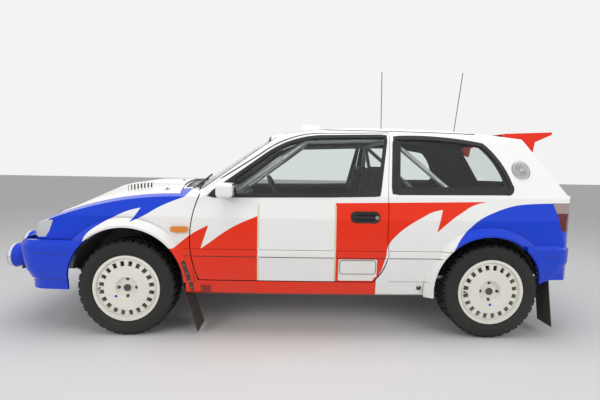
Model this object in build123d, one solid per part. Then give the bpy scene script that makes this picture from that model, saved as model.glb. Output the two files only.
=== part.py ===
"""Rally car: a compact three-door hatchback prepared for gravel stages, built as separate pieces.

Millimetres. X runs from the nose to the tail, Y towards the car's right, Z up from the road.
The middle of the overall length is X = 0.
"""
from build123d import *
import os
from math import cos, radians, sin, sqrt, tan

# Chassis
WHEELBASE = 2430
FRONT_AXLE_X = -1125
REAR_AXLE_X = FRONT_AXLE_X + WHEELBASE
TYRE_RADIUS = 320
TYRE_WIDTH = 194
HUB_Z = TYRE_RADIUS
WHEEL_CENTRE_Y = 718
RIM_RADIUS = 205
RIM_FLANGE_RADIUS = 220
KINGPIN_Y = 640

# Body skin
BODY_HALF = 836
MOULDING_PROUD = 9
MOULDING_LOW_Z = 547
MOULDING_HIGH_Z = 592
SILL_LOW_Z = 285
SILL_HIGH_Z = 378
SILL_INNER_Y = 700
BELT_Z = 950
ROOF_Z = 1454
TAIL_SHELF_Z = 1035
CROWN_RADIUS = 4500
PLAN_RADIUS = 30000
PLAN_MID_X = 150
SCREEN_RAKE = 34.3
SCREEN_RADIUS = 2400
HATCH_RAKE = 54.4
HATCH_RADIUS = 4900
WALL = 34
DOOR_WALL = 62
DOOR_DEPTH = 86
PANEL_GAP = 0.6
SHUT_GAP = 6
GLASS_INSET = 5
GLASS = 5
SEAT_GAP = 0.3

# Wheel arches: centre from the axle, height, radius
FRONT_ARCH = (-5, 338, 392)
REAR_ARCH = (-22, 322, 376)
ARCH_FLARE = 60
ARCH_LIP = 9
WHEELHOUSE_INNER_Y = 452
WHEELHOUSE_WALL = 4

# Doors
DOOR_SLANT = 12
DOOR_HINGE_Y = 846
DOOR_CUT_Y = 940
# A point well inside the door's outline, and the heights that its sloping front edge runs between
DOOR_MIDDLE = (1100, 850)
DOOR_PILLAR = (960, 1330)

# Wheels and hubs
HUB_RADIUS = 48
HUB_BACK = -66
SPINDLE_RADIUS = 22
SPINDLE_FIT = 0.05
SPINDLE_LENGTH = 50
# Tread lugs across the tyre, their height and the share of a pitch that they take
LUGS = 36
LUG_HEIGHT = 9
LUG_SHARE = 0.66
DISC_THICK = 10
DISC_RADIUS = 132
RIM_SLOTS = 20
RIM_SLOT = (27, 34)
RIM_SLOT_MIDDLE = 166
STUDS = 4
STUD_CIRCLE = 114.3
STUD_HOLE_RADIUS = 11

# Lamps, grille, handle and bonnet details
LAMP_RADIUS = 82
LAMP_FACE_X = -847
# Driving lamps, columns: distance from the middle of the car, height
DRIVING_LAMPS = ((-606, 490), (-440, 552), (440, 552), (606, 490))
REPEATER = (299, 409, 703, 741)
VENT_HALF = 150
# Aerials: foot and tip
ANTENNAS = (((706, 0, 1462), (698, 0, 1942)), ((1327, 0, 1432), (1383, 0, 1950)))
WIPER_LIFT = 16
MUD_FLAP = 5
# Mud flaps, columns: axle, inner and outer edge, then (distance behind the axle, height) from the top down
MUD_FLAPS = (
    (FRONT_AXLE_X, 612, 800, ((360, 425), (373, 330), (380, 285), (466, 26))),
    (REAR_AXLE_X, 600, 756, ((422, 435), (434, 330), (470, 60))),
)
HEADLAMP_Z = (652, 731)
HEADLAMP_INNER_Y = 336
HEADLAMP_OUTER_Y = 684
HEADLAMP_DEPTH = 70
GRILLE_Z = (656, 728)
GRILLE_HALF = 322
GRILLE_SLOTS = 4
# Air intakes of the front bumper: inner and outer edge, low and high edge, corner radius
INTAKE = (20, 372, 402, 500, 26)
# Door handle's plate: both ends from the axle, low and high edge; its corner radius, and the grip's pocket
HANDLE = (1472, 1664, 778, 854)
HANDLE_CORNER = 34
HANDLE_POCKET = (132, 44, 12)
GRIP_HEIGHT = 18
# Round cap on the rear pillar: place, radius, groove round it and the groove's depth
PILLAR_CAP = (1537, 1140)
PILLAR_CAP_RADIUS = 66
PILLAR_CAP_GROOVE = 4
WING_HALF = 536
LOUVRES = 8
LOUVRE_START_X = -150
LOUVRE_PITCH = 26
LOUVRE_Y = 345
LOUVRE_SPREAD = 0.2
SCOOP_HALF = 230
SCOOP_ROOF = 8
# Raised centre of the bonnet, columns: distance behind the front axle, rise; and its half-widths front and rear
BULGE_RISE = ((-570, 1), (-203, 44), (-12, 36), (230, 16), (318, 1))
BULGE_HALVES = (300, 430)

# Structure and running gear
SHEET = 8
FLOOR_Z = 270
REAR_FLOOR_Z = 440
REAR_PANEL_Z = 619
POST_HEIGHTS = ((560, 604), (820, 864))
BUFFER_RADIUS = 12
TUNNEL = (110, 390)
TOWER_Y = 552
TOWER_RADIUS = 84
TOWER_TOP_Z = 838
STRUT_RADIUS = 25
SPRING_RADIUS = 58
ARM_Z = 222
UPRIGHT_HALF = 95
BALL_HEIGHT = 30
GEARBOX_Z = 285
PLATE_Z = 192
HOOP_RADIUS = 20
CAGE_RADIUS = 19
STAY_RADIUS = 17
CAGE_BEAD = 3
HOOP_X = 668
HOOP_TOP = (500, 1345)
HOOP_FOOT_Y = 632
SEAT_X = 128
SEAT_Y = 350
SEAT_HALF = 232
SEAT_WALL = 30
SEAT_RAIL_HALF = 14
WHEEL_TILT = 24
STEERING_WHEEL = (-150, -SEAT_Y, 905)
STEERING_RADIUS = 172
STEERING_GRIP = 14
HUB_DEPTH = 25
COLUMN_RADIUS = 24
DASH_HALF = 598
DASH_REAR = 704
EXHAUST_Z = 222
EXHAUST_RADIUS = 26
LIP_DEPTH = 120
LIP_SIDE = 60

# Shut lines
BONNET_WALL = 20
BONNET_EDGE_Z = 738
FENDER_LOW_Z = 640
FENDER_REAR_LOW_Z = 374
TAILGATE_SEAM_X = 1450
TAILGATE_LOW_Z = 648
TAILGATE_LOW_HALF = 560
TAILGATE_MID_HALF = 672
TAILGATE_TOP_HALF = 545
SPLIT_Y = 540
BUMPER_WALL = 20
BUMPER_CORNER = 150
BUMPER_BOW = 95

def front(distance):
    """X at a distance behind the front axle."""
    return FRONT_AXLE_X + distance


def rear(distance):
    """X at a distance behind the rear axle."""
    return REAR_AXLE_X + distance


def write(node, shape):
    """One STEP file for a node."""
    solids = shape.solids()
    export_step(solids[0] if len(solids) == 1 else Compound(children=solids), f"parts/{node}.step")


UPRIGHT = (Align.CENTER, Align.CENTER, Align.MIN)


def block(x0, x1, y0, y1, z0, z1):
    """A box from its corner coordinates."""
    low = (min(x0, x1), min(y0, y1), min(z0, z1))
    size = (abs(x1 - x0), abs(y1 - y0), abs(z1 - z0))
    return Pos(*low) * Box(*size, align=(Align.MIN, Align.MIN, Align.MIN))


def rod(start, end, radius):
    """A round bar from one point to another."""
    a, b = Vector(*start), Vector(*end)
    path = b - a
    return Plane(origin=a, z_dir=path) * Cylinder(radius, path.length, align=UPRIGHT)


def upright_round(x, y, radius, top):
    """A round post from the road up to a height."""
    return Pos(x, y, 0) * Cylinder(radius, top, align=UPRIGHT)


def cross_rod(x, z, radius, y0, y1):
    """A round bar across the car."""
    return rod((x, y0, z), (x, y1, z), radius)


def outline(*rows):
    """Side-view outline. A row is (x, z) for a straight run to it, or (x, z, via_x, via_z) for an arc to it."""
    edges, at = [], rows[0][:2]
    for row in rows[1:] + rows[:1]:
        to = row[:2]
        if len(row) == 4:
            edges.append(ThreePointArc(at, row[2:], to))
        else:
            edges.append(Line(at, to))
        at = to
    return make_face(edges)


def prism(face, y0, y1, slant=0):
    """A side-view face, drawn in x and z, carried across the car from y0 to y1, drifting forward on its way."""
    start = Pos(0, y0, 0) * (Plane.XZ * face)
    drift = tan(radians(slant)) * abs(y1 - y0)
    return extrude(start, dir=Vector(-drift, y1 - y0, 0), amount=Vector(-drift, y1 - y0, 0).length)


def both(shape):
    """A left-hand shape and its mirror image on the right."""
    return Compound(children=list(shape.solids()) + list(mirror(shape, Plane.XZ).solids()))


# Outer form of the body

# Side section, columns: height, half-breadth
SIDE_ROWS = (
    (SILL_LOW_Z, 786),
    (300, 808),
    (SILL_HIGH_Z, 820),
    (540, BODY_HALF),
    (800, 827),
    (BELT_Z, 797),
    (1300, 636),
)
RAIL_VIA = (1372, 592)
RAIL_TOP = (1415, 520)
RAIL_CREST = (1480, 300)


def half_breadth(z):
    """Half-breadth of the side at a height."""
    for (z0, y0), (z1, y1) in zip(SIDE_ROWS, SIDE_ROWS[1:]):
        if z <= z1:
            return y0 + (y1 - y0) * (z - z0) / (z1 - z0)
    return SIDE_ROWS[-1][1]


def flanks(inset):
    """Both sides of the body with their plan curve, as one solid."""
    reach = 1100
    if inset:
        rows = [(100, SILL_INNER_Y), (SILL_HIGH_Z + 8, SILL_INNER_Y)]
        rows += [(z, y - inset) for z, y in SIDE_ROWS if z > SILL_HIGH_Z]
        rows[2] = (SILL_HIGH_Z + 9, SIDE_ROWS[2][1] - inset)
        rows.insert(3, (540, BODY_HALF - inset))
    else:
        rows = list(SIDE_ROWS)
        low, high = MOULDING_LOW_Z, MOULDING_HIGH_Z
        proud = BODY_HALF + MOULDING_PROUD
        rows[4:4] = [(low, half_breadth(low)), (low + 4, proud), (high - 4, proud), (high, half_breadth(high))]
    points = [(-y, z) for z, y in rows]
    rail_low = points[-1]
    rail_via = (-(RAIL_VIA[1] - 0.8 * inset), RAIL_VIA[0] - 0.6 * inset)
    rail_top = (-RAIL_TOP[1], RAIL_TOP[0] - inset)
    edges = [Line(a, b) for a, b in zip(points, points[1:])]
    edges.append(ThreePointArc(rail_low, rail_via, rail_top))
    crest = (-RAIL_CREST[1], RAIL_CREST[0] - inset)
    rest = [rail_top, crest, (reach, crest[1]), (reach, points[0][1]), points[0]]
    edges += [Line(a, b) for a, b in zip(rest, rest[1:])]
    face = Pos(PLAN_MID_X, 0, 0) * (Plane.YZ * make_face(edges))
    axis = Axis((PLAN_MID_X, PLAN_RADIUS - BODY_HALF, 0), (0, 0, 1))
    half_turn = 4.4
    side = revolve(face.rotate(axis, -half_turn), axis, revolution_arc=2 * half_turn)
    return side & mirror(side, Plane.XZ)


def crowned(face):
    """A side-view face swept about a low lengthwise axis, so that its top is crowned."""
    axis = Axis((0, 0, ROOF_Z - CROWN_RADIUS), (1, 0, 0))
    half_turn = 17
    return revolve((Plane.XZ * face).rotate(axis, -half_turn), axis, revolution_arc=2 * half_turn)


def bonnet_line(lift=0):
    """Edges of the bonnet's centre line from its front edge to the scuttle."""
    return ((front(-745), 742 + lift), (front(365), 1010 + lift, front(-275), 925 + lift))


def plan_prism(inset):
    """Nose and tail as seen from above."""
    nose, tail = front(-735) + inset, rear(622) - inset
    side = 1000
    rows = (
        (nose + 62, -620, nose + 128, -748 + inset), (nose + 62, 620, nose, 0),
        (nose + 250, 822 - inset, nose + 128, 748 - inset), (nose + 250, side), (tail - 190, side),
        (tail - 190, 812 - inset), (tail - 36, 640, tail - 80, 748 - inset), (tail - 36, -640, tail, 0),
        (tail - 190, -812 + inset, tail - 80, -748 + inset), (tail - 190, -side), (nose + 250, -side),
        (nose + 250, -822 + inset),
    )
    return extrude(outline(*rows), amount=1700)


def raked_cylinder(point, rake, radius, facing):
    """A large cylinder's centre and axis: it passes through a point at a rake, facing -1 forward, 1 rearward."""
    inward = Vector(-facing * sin(radians(rake)), 0, -cos(radians(rake)))
    along = Vector(cos(radians(rake)), 0, -facing * sin(radians(rake)))
    centre = Vector(point[0], 0, point[1]) + inward * radius
    return centre, along


def screen_solid(inset):
    """Everything behind the windscreen's curved surface."""
    centre, along = raked_cylinder((front(317), 977), SCREEN_RAKE, SCREEN_RADIUS, -1)
    return Plane(origin=centre, z_dir=along) * Cylinder(SCREEN_RADIUS - inset, 8000)


def hatch_solid(inset):
    """Everything ahead of the tailgate glass's curved surface."""
    centre, along = raked_cylinder((rear(389), 1272), HATCH_RAKE, HATCH_RADIUS, 1)
    return Plane(origin=centre, z_dir=along) * Cylinder(HATCH_RADIUS - inset, 8000)


def body_form(inset):
    """The whole body as a closed form, set in by a wall."""
    (x0, z0), (x1, z1, xv, zv) = bonnet_line(-inset)
    lower = outline(
        (x0 - 15, 90), (x0 - 15, z0 - 8), (x0, z0), (x1, z1, xv, zv), (rear(-100), TAIL_SHELF_Z - inset),
        (rear(560) - inset, TAIL_SHELF_Z - inset), (rear(562) - inset, 930), (rear(602) - inset, 858),
        (rear(626) - inset, 731), (rear(626) - inset, 90),
    )
    roof = outline(
        (front(300), 930), (front(300), 1290 - inset), (front(880), 1372 - inset),
        (front(1280), 1437 - inset, front(1075), 1412 - inset),
        (rear(220), 1404 - inset, front(1770), ROOF_Z - inset), (rear(700), 1355 - inset), (rear(700), 930),
    )
    house = crowned(roof) & screen_solid(inset) & hatch_solid(inset)
    house -= crowned(outline((rear(300), 200), (rear(900), 200), (rear(900), TAIL_SHELF_Z - inset),
                             (rear(300), TAIL_SHELF_Z - inset)))
    return (crowned(lower) + house) & flanks(inset) & plan_prism(inset)


def arch_cylinder(axle_x, arch, y0, y1, grow=0):
    """The cylinder of a wheel arch between two distances from the middle of the car, left-hand."""
    offset, z, radius = arch
    return cross_rod(axle_x + offset, z, radius + grow, -y0, -y1)


def arch_flare(axle_x, arch):
    """The raised lip that follows a wheel arch, left-hand."""
    offset, z, radius = arch
    lip, foot = BODY_HALF + ARCH_LIP, BODY_HALF - 20
    rows = ((radius, -foot), (radius, -lip), (radius + 14, -lip - 1), (radius + ARCH_FLARE, -foot))
    face = Pos(axle_x + offset, 0, z) * (Plane.YZ * make_face(Polyline(*[(y, r) for r, y in rows], close=True)))
    ring = revolve(face, Axis((axle_x + offset, 0, z), (0, 1, 0)))
    reach = radius + ARCH_FLARE
    return ring & block(axle_x - reach * 2, axle_x + reach * 2, -1000, 0, z - 40, z + reach)


# Door outline on the skin, columns: distance behind the axle, height, then an arc's middle point likewise
DOOR_OUTLINE = (
    (479, 386),
    (489, 960, 427, 600),
    (880, 1228),
    (1325, 1374, 1065, 1330),
    (1770, 1386),
    (1721, 960),
    (1715, 675),
    (1625, 386, 1697, 480),
)


def door_rows(grow):
    """The door's outline at the plane where its cut starts, grown by a gap all round."""
    rows = []
    pillar_low, pillar_high = DOOR_PILLAR
    middle_x, middle_z = DOOR_MIDDLE
    for row in DOOR_OUTLINE:
        moved = []
        for x, z in zip(row[::2], row[1::2]):
            shift = (DOOR_CUT_Y - half_breadth(z)) * tan(radians(DOOR_SLANT))
            side = grow if x > middle_x else -grow
            up = grow if z > middle_z else -grow
            if pillar_low < z < pillar_high and x < middle_x:
                side, up = -grow * 1.2, grow * 0.8
            moved += [front(x + shift + side), z + up]
        rows.append(tuple(moved))
    return rows


def cabin_core(depth):
    """All that lies deeper than this behind the sides, as one prism along the car."""
    edge = [(y - depth, z) for z, y in SIDE_ROWS]
    edge = [(edge[0][0], 0), *edge, (edge[-1][0], 1600)]
    face = outline(*edge, *[(-y, z) for y, z in reversed(edge)])
    return extrude(Plane.YZ * face, amount=2500, both=True)


def door_prism(grow=0):
    """The left-hand door's cut through the side, with slanted edges so that it swings clear."""
    cut = prism(outline(*door_rows(grow)), -DOOR_CUT_Y, -420, DOOR_SLANT)
    return cut - cabin_core(DOOR_DEPTH + 2 * grow)


# Openings and shut lines

# Door window, as the door outline's columns
DOOR_WINDOW = (
    (540, 944),
    (912, 1219),
    (1278, 1348, 1065, 1302),
    (1733, 1362),
    (1658, 966),
    (1340, 957),
)
# Quarter window, as above
QUARTER_WINDOW = (
    (1766, 984),
    (1800, 1349),
    (2412, 1308, 2130, 1346),
    (2566, 1040, 2508, 1190),
    (2528, 992, 2566, 1003),
)


def window_prism(rows, grow=0):
    """A side window's cut, left-hand, shrunk or grown all round."""
    face = outline(*[tuple(front(v) if i % 2 == 0 else v for i, v in enumerate(row)) for row in rows])
    if grow:
        face = offset(face, grow, kind=Kind.INTERSECTION)
    return prism(face, -900, -450)


def raked_plane(point, rake, facing):
    """A plane on a raked glass's centre line, its X up the slope and its Z outwards."""
    along = Vector(cos(radians(rake)), 0, -facing * sin(radians(rake)))
    out = Vector(facing * sin(radians(rake)), 0, cos(radians(rake)))
    return Plane(origin=Vector(point[0], 0, point[1]), x_dir=along, z_dir=out)


def glass_prism(point, rake, facing, opening, grow=0):
    """A front or rear window's cut, square to the glass, from its opening's row."""
    near, far, near_half, far_half, bow = opening
    near, far, near_half, far_half = near - grow, far + grow, near_half + grow, far_half + grow
    face = outline(
        (near + bow, -near_half, near, 0), (far - bow, -far_half), (far - bow, far_half, far, 0),
        (near + bow, near_half),
    )
    return extrude(raked_plane(point, rake, facing) * face, amount=400, both=True)


SCREEN_POINT = (front(317), 977)
HATCH_POINT = (rear(389), 1272)
# Columns: distances of both ends along the glass from its point, half-widths there, bow of the ends
SCREEN_OPENING = (72, 705, 612, 526, 16)
HATCH_OPENING = (-128, 292, 520, 575, 12)


def bonnet_zone(grow=0):
    """The bonnet's cut from above."""
    (nose_x, nose_z), (rear_x, *_rest) = bonnet_line()
    face = outline(
        (nose_x - 60, -600 - grow), (front(-560), -628 - grow), (front(330) + grow, -706 - grow),
        (front(330) + grow, 706 + grow, front(262) + grow, 0), (front(-560), 628 + grow),
        (nose_x - 60, 600 + grow),
    )
    above = prism(outline((front(-900), BONNET_EDGE_Z - grow), (front(500), BONNET_EDGE_Z - grow),
                          (front(500), 1300), (front(-900), 1300)), -1000, 1000)
    return extrude(Pos(0, 0, 400) * face, amount=900) & above


def tailgate_zone(grow=0):
    """The tailgate's cut: its outline from behind, and how far it reaches forward."""
    g = grow
    behind = outline(
        (-TAILGATE_LOW_HALF - g, TAILGATE_LOW_Z - g), (-TAILGATE_LOW_HALF - g, 934),
        (-TAILGATE_MID_HALF - g, 948), (-TAILGATE_TOP_HALF - g, 1330),
        (-TAILGATE_TOP_HALF - g, 1500), (TAILGATE_TOP_HALF + g, 1500),
        (TAILGATE_TOP_HALF + g, 1330), (TAILGATE_MID_HALF + g, 948), (TAILGATE_LOW_HALF + g, 934),
        (TAILGATE_LOW_HALF + g, TAILGATE_LOW_Z - g),
    )
    across = extrude(Pos(rear(0), 0, 0) * (Plane.YZ * behind), amount=1200)
    ahead = prism(outline(
        (TAILGATE_SEAM_X - g, 1520), (TAILGATE_SEAM_X - g, 1330), (rear(270), 1230), (rear(430), 1000),
        (rear(430), 500), (rear(900), 500), (rear(900), 1520),
    ), -1000, 1000)
    return across & ahead


def fender_zone():
    """The front fender's reach in side view, left-hand."""
    face = outline(
        (front(-800), FENDER_LOW_Z), (front(-800), 1100), (front(420), 1100), (front(420), 985),
        (front(500), 940), (front(560), 940), (front(560), FENDER_REAR_LOW_Z), (front(300), FENDER_REAR_LOW_Z),
        (front(100), FENDER_LOW_Z),
    )
    return prism(face, -1000, -560)


def bumper_form(face_x, back_x, rows, inset=0):
    """A bumper's closed form, lofted through plan outlines, one for each of its rows."""
    faces = []
    sign = 1 if face_x > back_x else -1
    for z, setback, half in rows:
        nose = -abs(face_x) + setback + inset
        half = half - inset
        corner_y, shoulder_y = half - 18 - BUMPER_CORNER, half - 18
        corner_x, shoulder_x = nose + BUMPER_BOW, nose + BUMPER_BOW + BUMPER_CORNER
        via_x, via_y = corner_x + 0.3 * BUMPER_CORNER, corner_y + 0.74 * BUMPER_CORNER
        back = -abs(back_x)
        face = outline(
            (corner_x, -corner_y, via_x, -via_y), (corner_x, corner_y, nose, 0),
            (shoulder_x, shoulder_y, via_x, via_y), (back, half), (back, -half), (shoulder_x, -shoulder_y),
        )
        faces.append(Pos(0, 0, z) * face)
    form = loft(faces, ruled=True)
    return mirror(form, Plane.YZ) if sign > 0 else form


# Bumper sections, columns: height, set-back of the face, half-breadth
FRONT_BUMPER_ROWS = (
    (300, 50, 792), (362, 58, 800), (374, 42, 806), (430, 14, 818), (520, 0, 830), (598, 0, 838),
    (636, 26, 832),
)
REAR_BUMPER_ROWS = (
    (360, 140, 790), (399, 66, 800), (460, 20, 818), (520, 0, 828), (612, 2, 834), (640, 60, 826),
)


def bumper_skin(face_x, back_x, rows):
    """A bumper as a skin open at the back and below, cut by its wheel arches."""
    inside = [(rows[0][0] - 60, rows[0][1], rows[0][2])] + list(rows[1:-1])
    inside.append((rows[-1][0] - BUMPER_WALL, rows[-1][1], rows[-1][2]))
    beyond = back_x - 40 if face_x > back_x else back_x + 40
    lip_x = face_x - LIP_DEPTH if face_x > back_x else face_x + LIP_DEPTH
    top, half = rows[-1][0], rows[-1][2] - LIP_SIDE
    opening = block(lip_x, beyond, -half, half, top - 2 * BUMPER_WALL, top + 10)
    solid = bumper_form(face_x, back_x, rows)
    return solid - bumper_form(face_x, beyond, inside, BUMPER_WALL) - opening - arches


FRONT_BUMPER = (front(-830), front(-262), FRONT_BUMPER_ROWS)
REAR_BUMPER = (rear(675), rear(225), REAR_BUMPER_ROWS)
STRIKER_HALF = 40

outer = body_form(0)
inner = body_form(WALL)
panel_inner = body_form(BONNET_WALL)
door_inner = body_form(DOOR_WALL)
glass_skin = body_form(GLASS_INSET) - body_form(GLASS_INSET + GLASS)
arches = [arch_cylinder(FRONT_AXLE_X, FRONT_ARCH, WHEELHOUSE_INNER_Y, 900),
          arch_cylinder(REAR_AXLE_X, REAR_ARCH, WHEELHOUSE_INNER_Y, 900)]
arches += [mirror(a, Plane.XZ) for a in arches]
screen_cut = glass_prism(SCREEN_POINT, SCREEN_RAKE, -1, SCREEN_OPENING)
hatch_cut = glass_prism(HATCH_POINT, HATCH_RAKE, 1, HATCH_OPENING)
under_tail = block(rear(340), rear(800), -1000, 1000, 0, REAR_BUMPER_ROWS[1][0])
under_nose = block(front(-900), front(-300), -1000, 1000, 0, FENDER_LOW_Z)
door_hole = door_prism(SHUT_GAP)
front_skin = bumper_skin(*FRONT_BUMPER)
rear_skin = bumper_skin(*REAR_BUMPER)
shell = outer - inner - arches - under_tail - under_nose
shell -= [door_hole, mirror(door_hole, Plane.XZ), bonnet_zone(SHUT_GAP), tailgate_zone(SHUT_GAP), screen_cut]
shell -= [bumper_form(*FRONT_BUMPER), bumper_form(*REAR_BUMPER)]


# Lamps let into the skin

def headlamp_zone(grow=0):
    """Left-hand headlamp's pocket."""
    g = grow
    return block(front(-900), front(-600) + g, -HEADLAMP_OUTER_Y - g, -HEADLAMP_INNER_Y + g,
                 HEADLAMP_Z[0] - g, HEADLAMP_Z[1] + g)


def corner_lamp_zone(grow=0):
    """Left-hand corner lamp's pocket, raked at the back."""
    low, high = HEADLAMP_Z
    face = outline((front(-900), low), (front(-535), low), (front(-510), 690), (front(-483), 764),
                   (front(-560), 770), (front(-900), high + 20))
    face = offset(face, grow, kind=Kind.INTERSECTION) if grow else face
    return prism(face, -1000, -HEADLAMP_OUTER_Y - 1 + grow)


def tail_lamp_zone(grow=0):
    """Left-hand tail lamp's pocket."""
    face = outline((rear(420), 924), (rear(446), 847), (rear(474), 735), (rear(482), 668), (rear(800), 668),
                   (rear(800), 924))
    inner_y = TAILGATE_LOW_HALF + SHUT_GAP + 2
    return prism(offset(face, grow, kind=Kind.INTERSECTION) if grow else face, -1000, -inner_y + grow)


def lamp(zone, depth):
    """A lamp unit: the outer form within its pocket, to a depth."""
    return outer & zone - body_form(depth)


# Body panels

def side_part(shape):
    """The left-hand share of the fixed shell."""
    return shape & block(front(-1000), rear(1000), -1000, -SPLIT_Y, 0, 1600)


def body_side():
    """Left-hand side frame: scuttle end, pillars, roof rail, sill and quarter panel with its arch flare."""
    side = side_part(shell) - fender_zone() - tail_lamp_zone(SEAT_GAP) - window_prism(QUARTER_WINDOW)
    flare = arch_flare(REAR_AXLE_X, REAR_ARCH) - arches
    flare -= block(REAR_AXLE_X, rear(600), -1000, 0, 0, REAR_BUMPER_ROWS[-1][0] + PANEL_GAP)
    flare -= block(rear(-600), rear(600), -1000, 0, 0, SILL_LOW_Z)
    x, z = PILLAR_CAP
    within = PILLAR_CAP_RADIUS - PILLAR_CAP_GROOVE
    ring = cross_rod(x, z, PILLAR_CAP_RADIUS, -900, 0) - cross_rod(x, z, within, -900, 0)
    return biggest(side + (flare - inner - door_hole) - (ring - body_form(PILLAR_CAP_GROOVE)))


def fender():
    """Left-hand front fender with its arch flare."""
    wing = side_part(shell) & fender_zone()
    wing -= [headlamp_zone(SEAT_GAP), corner_lamp_zone(SEAT_GAP)]
    flare = arch_flare(FRONT_AXLE_X, FRONT_ARCH) - arches - inner - door_hole
    flare -= block(front(-600), front(0), -1000, 0, 0, FRONT_BUMPER_ROWS[-1][0] + PANEL_GAP)
    flare -= block(front(-600), front(600), -1000, 0, 0, FENDER_REAR_LOW_Z)
    return biggest(wing + flare)


def biggest(shape):
    """The largest solid of a cut, without the slivers beside it."""
    return max(shape.solids(), key=lambda solid: solid.volume)


def middle_part(x0, x1, z0, z1):
    """The fixed shell between the two sides."""
    half = SPLIT_Y - PANEL_GAP
    return biggest(shell & block(x0, x1, -half, half, z0, z1))


def door():
    """Left-hand door: skin and window frame, with a thicker box below the belt."""
    cut = door_prism()
    skin = (outer - inner) & cut
    box = (outer - door_inner) & cut & block(front(0), rear(0), -1000, 0, 0, BELT_Z - 14)
    made = skin + box - window_prism(DOOR_WINDOW) - handle_plate(SEAT_GAP)
    return biggest(made)


def handle_plate(grow=0):
    """The outside handle's rounded plate, let into the door."""
    x0, x1, z0, z1 = HANDLE
    y = half_breadth((z0 + z1) / 2)
    face = RectangleRounded(x1 - x0 + 2 * grow, z1 - z0 + 2 * grow, HANDLE_CORNER + grow)
    return prism(Pos(front((x0 + x1) / 2), (z0 + z1) / 2) * face, -(y + 4), -(y - 16) + grow)


def door_handle():
    """Left-hand outside handle: its plate with a pocket for the fingers and a bar across the pocket."""
    x0, x1, z0, z1 = HANDLE
    y = half_breadth((z0 + z1) / 2)
    length, height, depth = HANDLE_POCKET
    middle = Pos(front((x0 + x1) / 2), (z0 + z1) / 2)
    pocket = prism(middle * RectangleRounded(length, height, height / 2 - 1), -(y + 30), -(y + 4 - depth))
    grip = prism(middle * RectangleRounded(length + 4, GRIP_HEIGHT, GRIP_HEIGHT / 2 - 1), -(y + 4), -(y - 3))
    return biggest(handle_plate() - pocket + grip)


def door_mirror():
    """Left-hand mirror: a rounded pod on a short arm."""
    x, y, z = front(662), -872, 984
    pod = Pos(x, y, z) * Box(112, 150, 92)
    pod = fillet(pod.edges(), 26)
    arm = Pos(x - 8, -792, 956) * Box(70, 40, 30)
    return biggest(pod + arm - outer)


def tailgate():
    """Tailgate panel with its window cut."""
    return biggest(((outer - panel_inner) & tailgate_zone()) - hatch_cut)


def rear_wing():
    """Roof wing on the tailgate: a blade on two end plates."""
    half = WING_HALF
    blade = outline((rear(178), 1402), (rear(526), 1419), (rear(523), 1402), (rear(404), 1368),
                    (rear(250), 1378))
    plate = outline((rear(178), 1402), (rear(526), 1419), (rear(522), 1400), (rear(404), 1346),
                    (rear(390), 1262), (rear(200), 1330))
    ends = [prism(plate, -half, -half + 34), prism(plate, half - 34, half)]
    return biggest(prism(blade, -half, half) + ends - outer)


def bonnet_z(distance):
    """Height of the bonnet's centre line at a distance behind the front axle, on its circle."""
    (x0, z0), (x2, z2, x1, z1) = bonnet_line()
    a, b = x1 - x0, z1 - z0
    c, d = x2 - x0, z2 - z0
    e, f = (a * a + b * b) / 2, (c * c + d * d) / 2
    centre_x = x0 + (e * d - f * b) / (a * d - b * c)
    centre_z = z0 + (f * a - e * c) / (a * d - b * c)
    radius = sqrt((x0 - centre_x) ** 2 + (z0 - centre_z) ** 2)
    return centre_z + sqrt(radius ** 2 - (front(distance) - centre_x) ** 2)


def bulge_line(rows, drop):
    """The raised centre's side-view outline above the bonnet. Rows: distance behind the axle, rise."""
    top = [(front(d), bonnet_z(d) + rise) for d, rise in rows]
    return outline(*top, (top[-1][0], bonnet_z(rows[-1][0]) - drop), (top[0][0], bonnet_z(rows[0][0]) - drop))


def bonnet():
    """Bonnet panel with its raised centre, open at the front as a scoop."""
    skin = (outer - panel_inner) & bonnet_zone()
    start, end = BULGE_RISE[0][0], BULGE_RISE[-1][0]
    fore, aft = BULGE_HALVES
    plan = outline((front(start), -fore), (front(end), -aft), (front(end), aft), (front(start), fore))
    raised = crowned(bulge_line(BULGE_RISE, 60)) & extrude(Pos(0, 0, 700) * plan, amount=500)
    raised = raised & bonnet_zone() - panel_inner
    mouth = [(d, max(rise - SCOOP_ROOF, 2)) for d, rise in BULGE_RISE[:3]]
    mouth = crowned(bulge_line(mouth, -4)) & block(front(-470), front(-60), -SCOOP_HALF, SCOOP_HALF, 700, 1200)
    made = skin + (raised - mouth)
    for louvre in louvres():
        made -= louvre
    return biggest(made)


def louvres():
    """Slanted slots along each side of the bonnet's raised centre."""
    cuts = []
    for side in (-1, 1):
        for n in range(LOUVRES):
            x = front(LOUVRE_START_X + n * LOUVRE_PITCH)
            y = side * (LOUVRE_Y + n * LOUVRE_PITCH * LOUVRE_SPREAD)
            slot = Pos(x, y, 960) * Rot(0, 0, side * 30) * Box(10, 34, 200)
            cuts.append(slot)
    return cuts


def intakes():
    """The two air intakes' cuts through the front bumper."""
    inner_y, outer_y, low, high, corner = INTAKE
    face = RectangleRounded(outer_y - inner_y, high - low, corner)
    middle = (inner_y + outer_y) / 2
    places = [Pos(front(-900), y, (low + high) / 2) for y in (-middle, middle)]
    return [extrude(place * (Plane.YZ * face), amount=200) for place in places]


def nose_panel():
    """Body-coloured frame round the grille."""
    cut = block(front(-900), front(-500), -GRILLE_HALF - SEAT_GAP, GRILLE_HALF + SEAT_GAP,
                GRILLE_Z[0] - SEAT_GAP, GRILLE_Z[1] + SEAT_GAP)
    lamp_cut = headlamp_zone(SEAT_GAP)
    half = SPLIT_Y + 20 - PANEL_GAP
    made = shell & block(front(-900), front(-560), -half, half, 0, BONNET_EDGE_Z)
    return biggest(made - cut - lamp_cut - mirror(lamp_cut, Plane.XZ))


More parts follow.
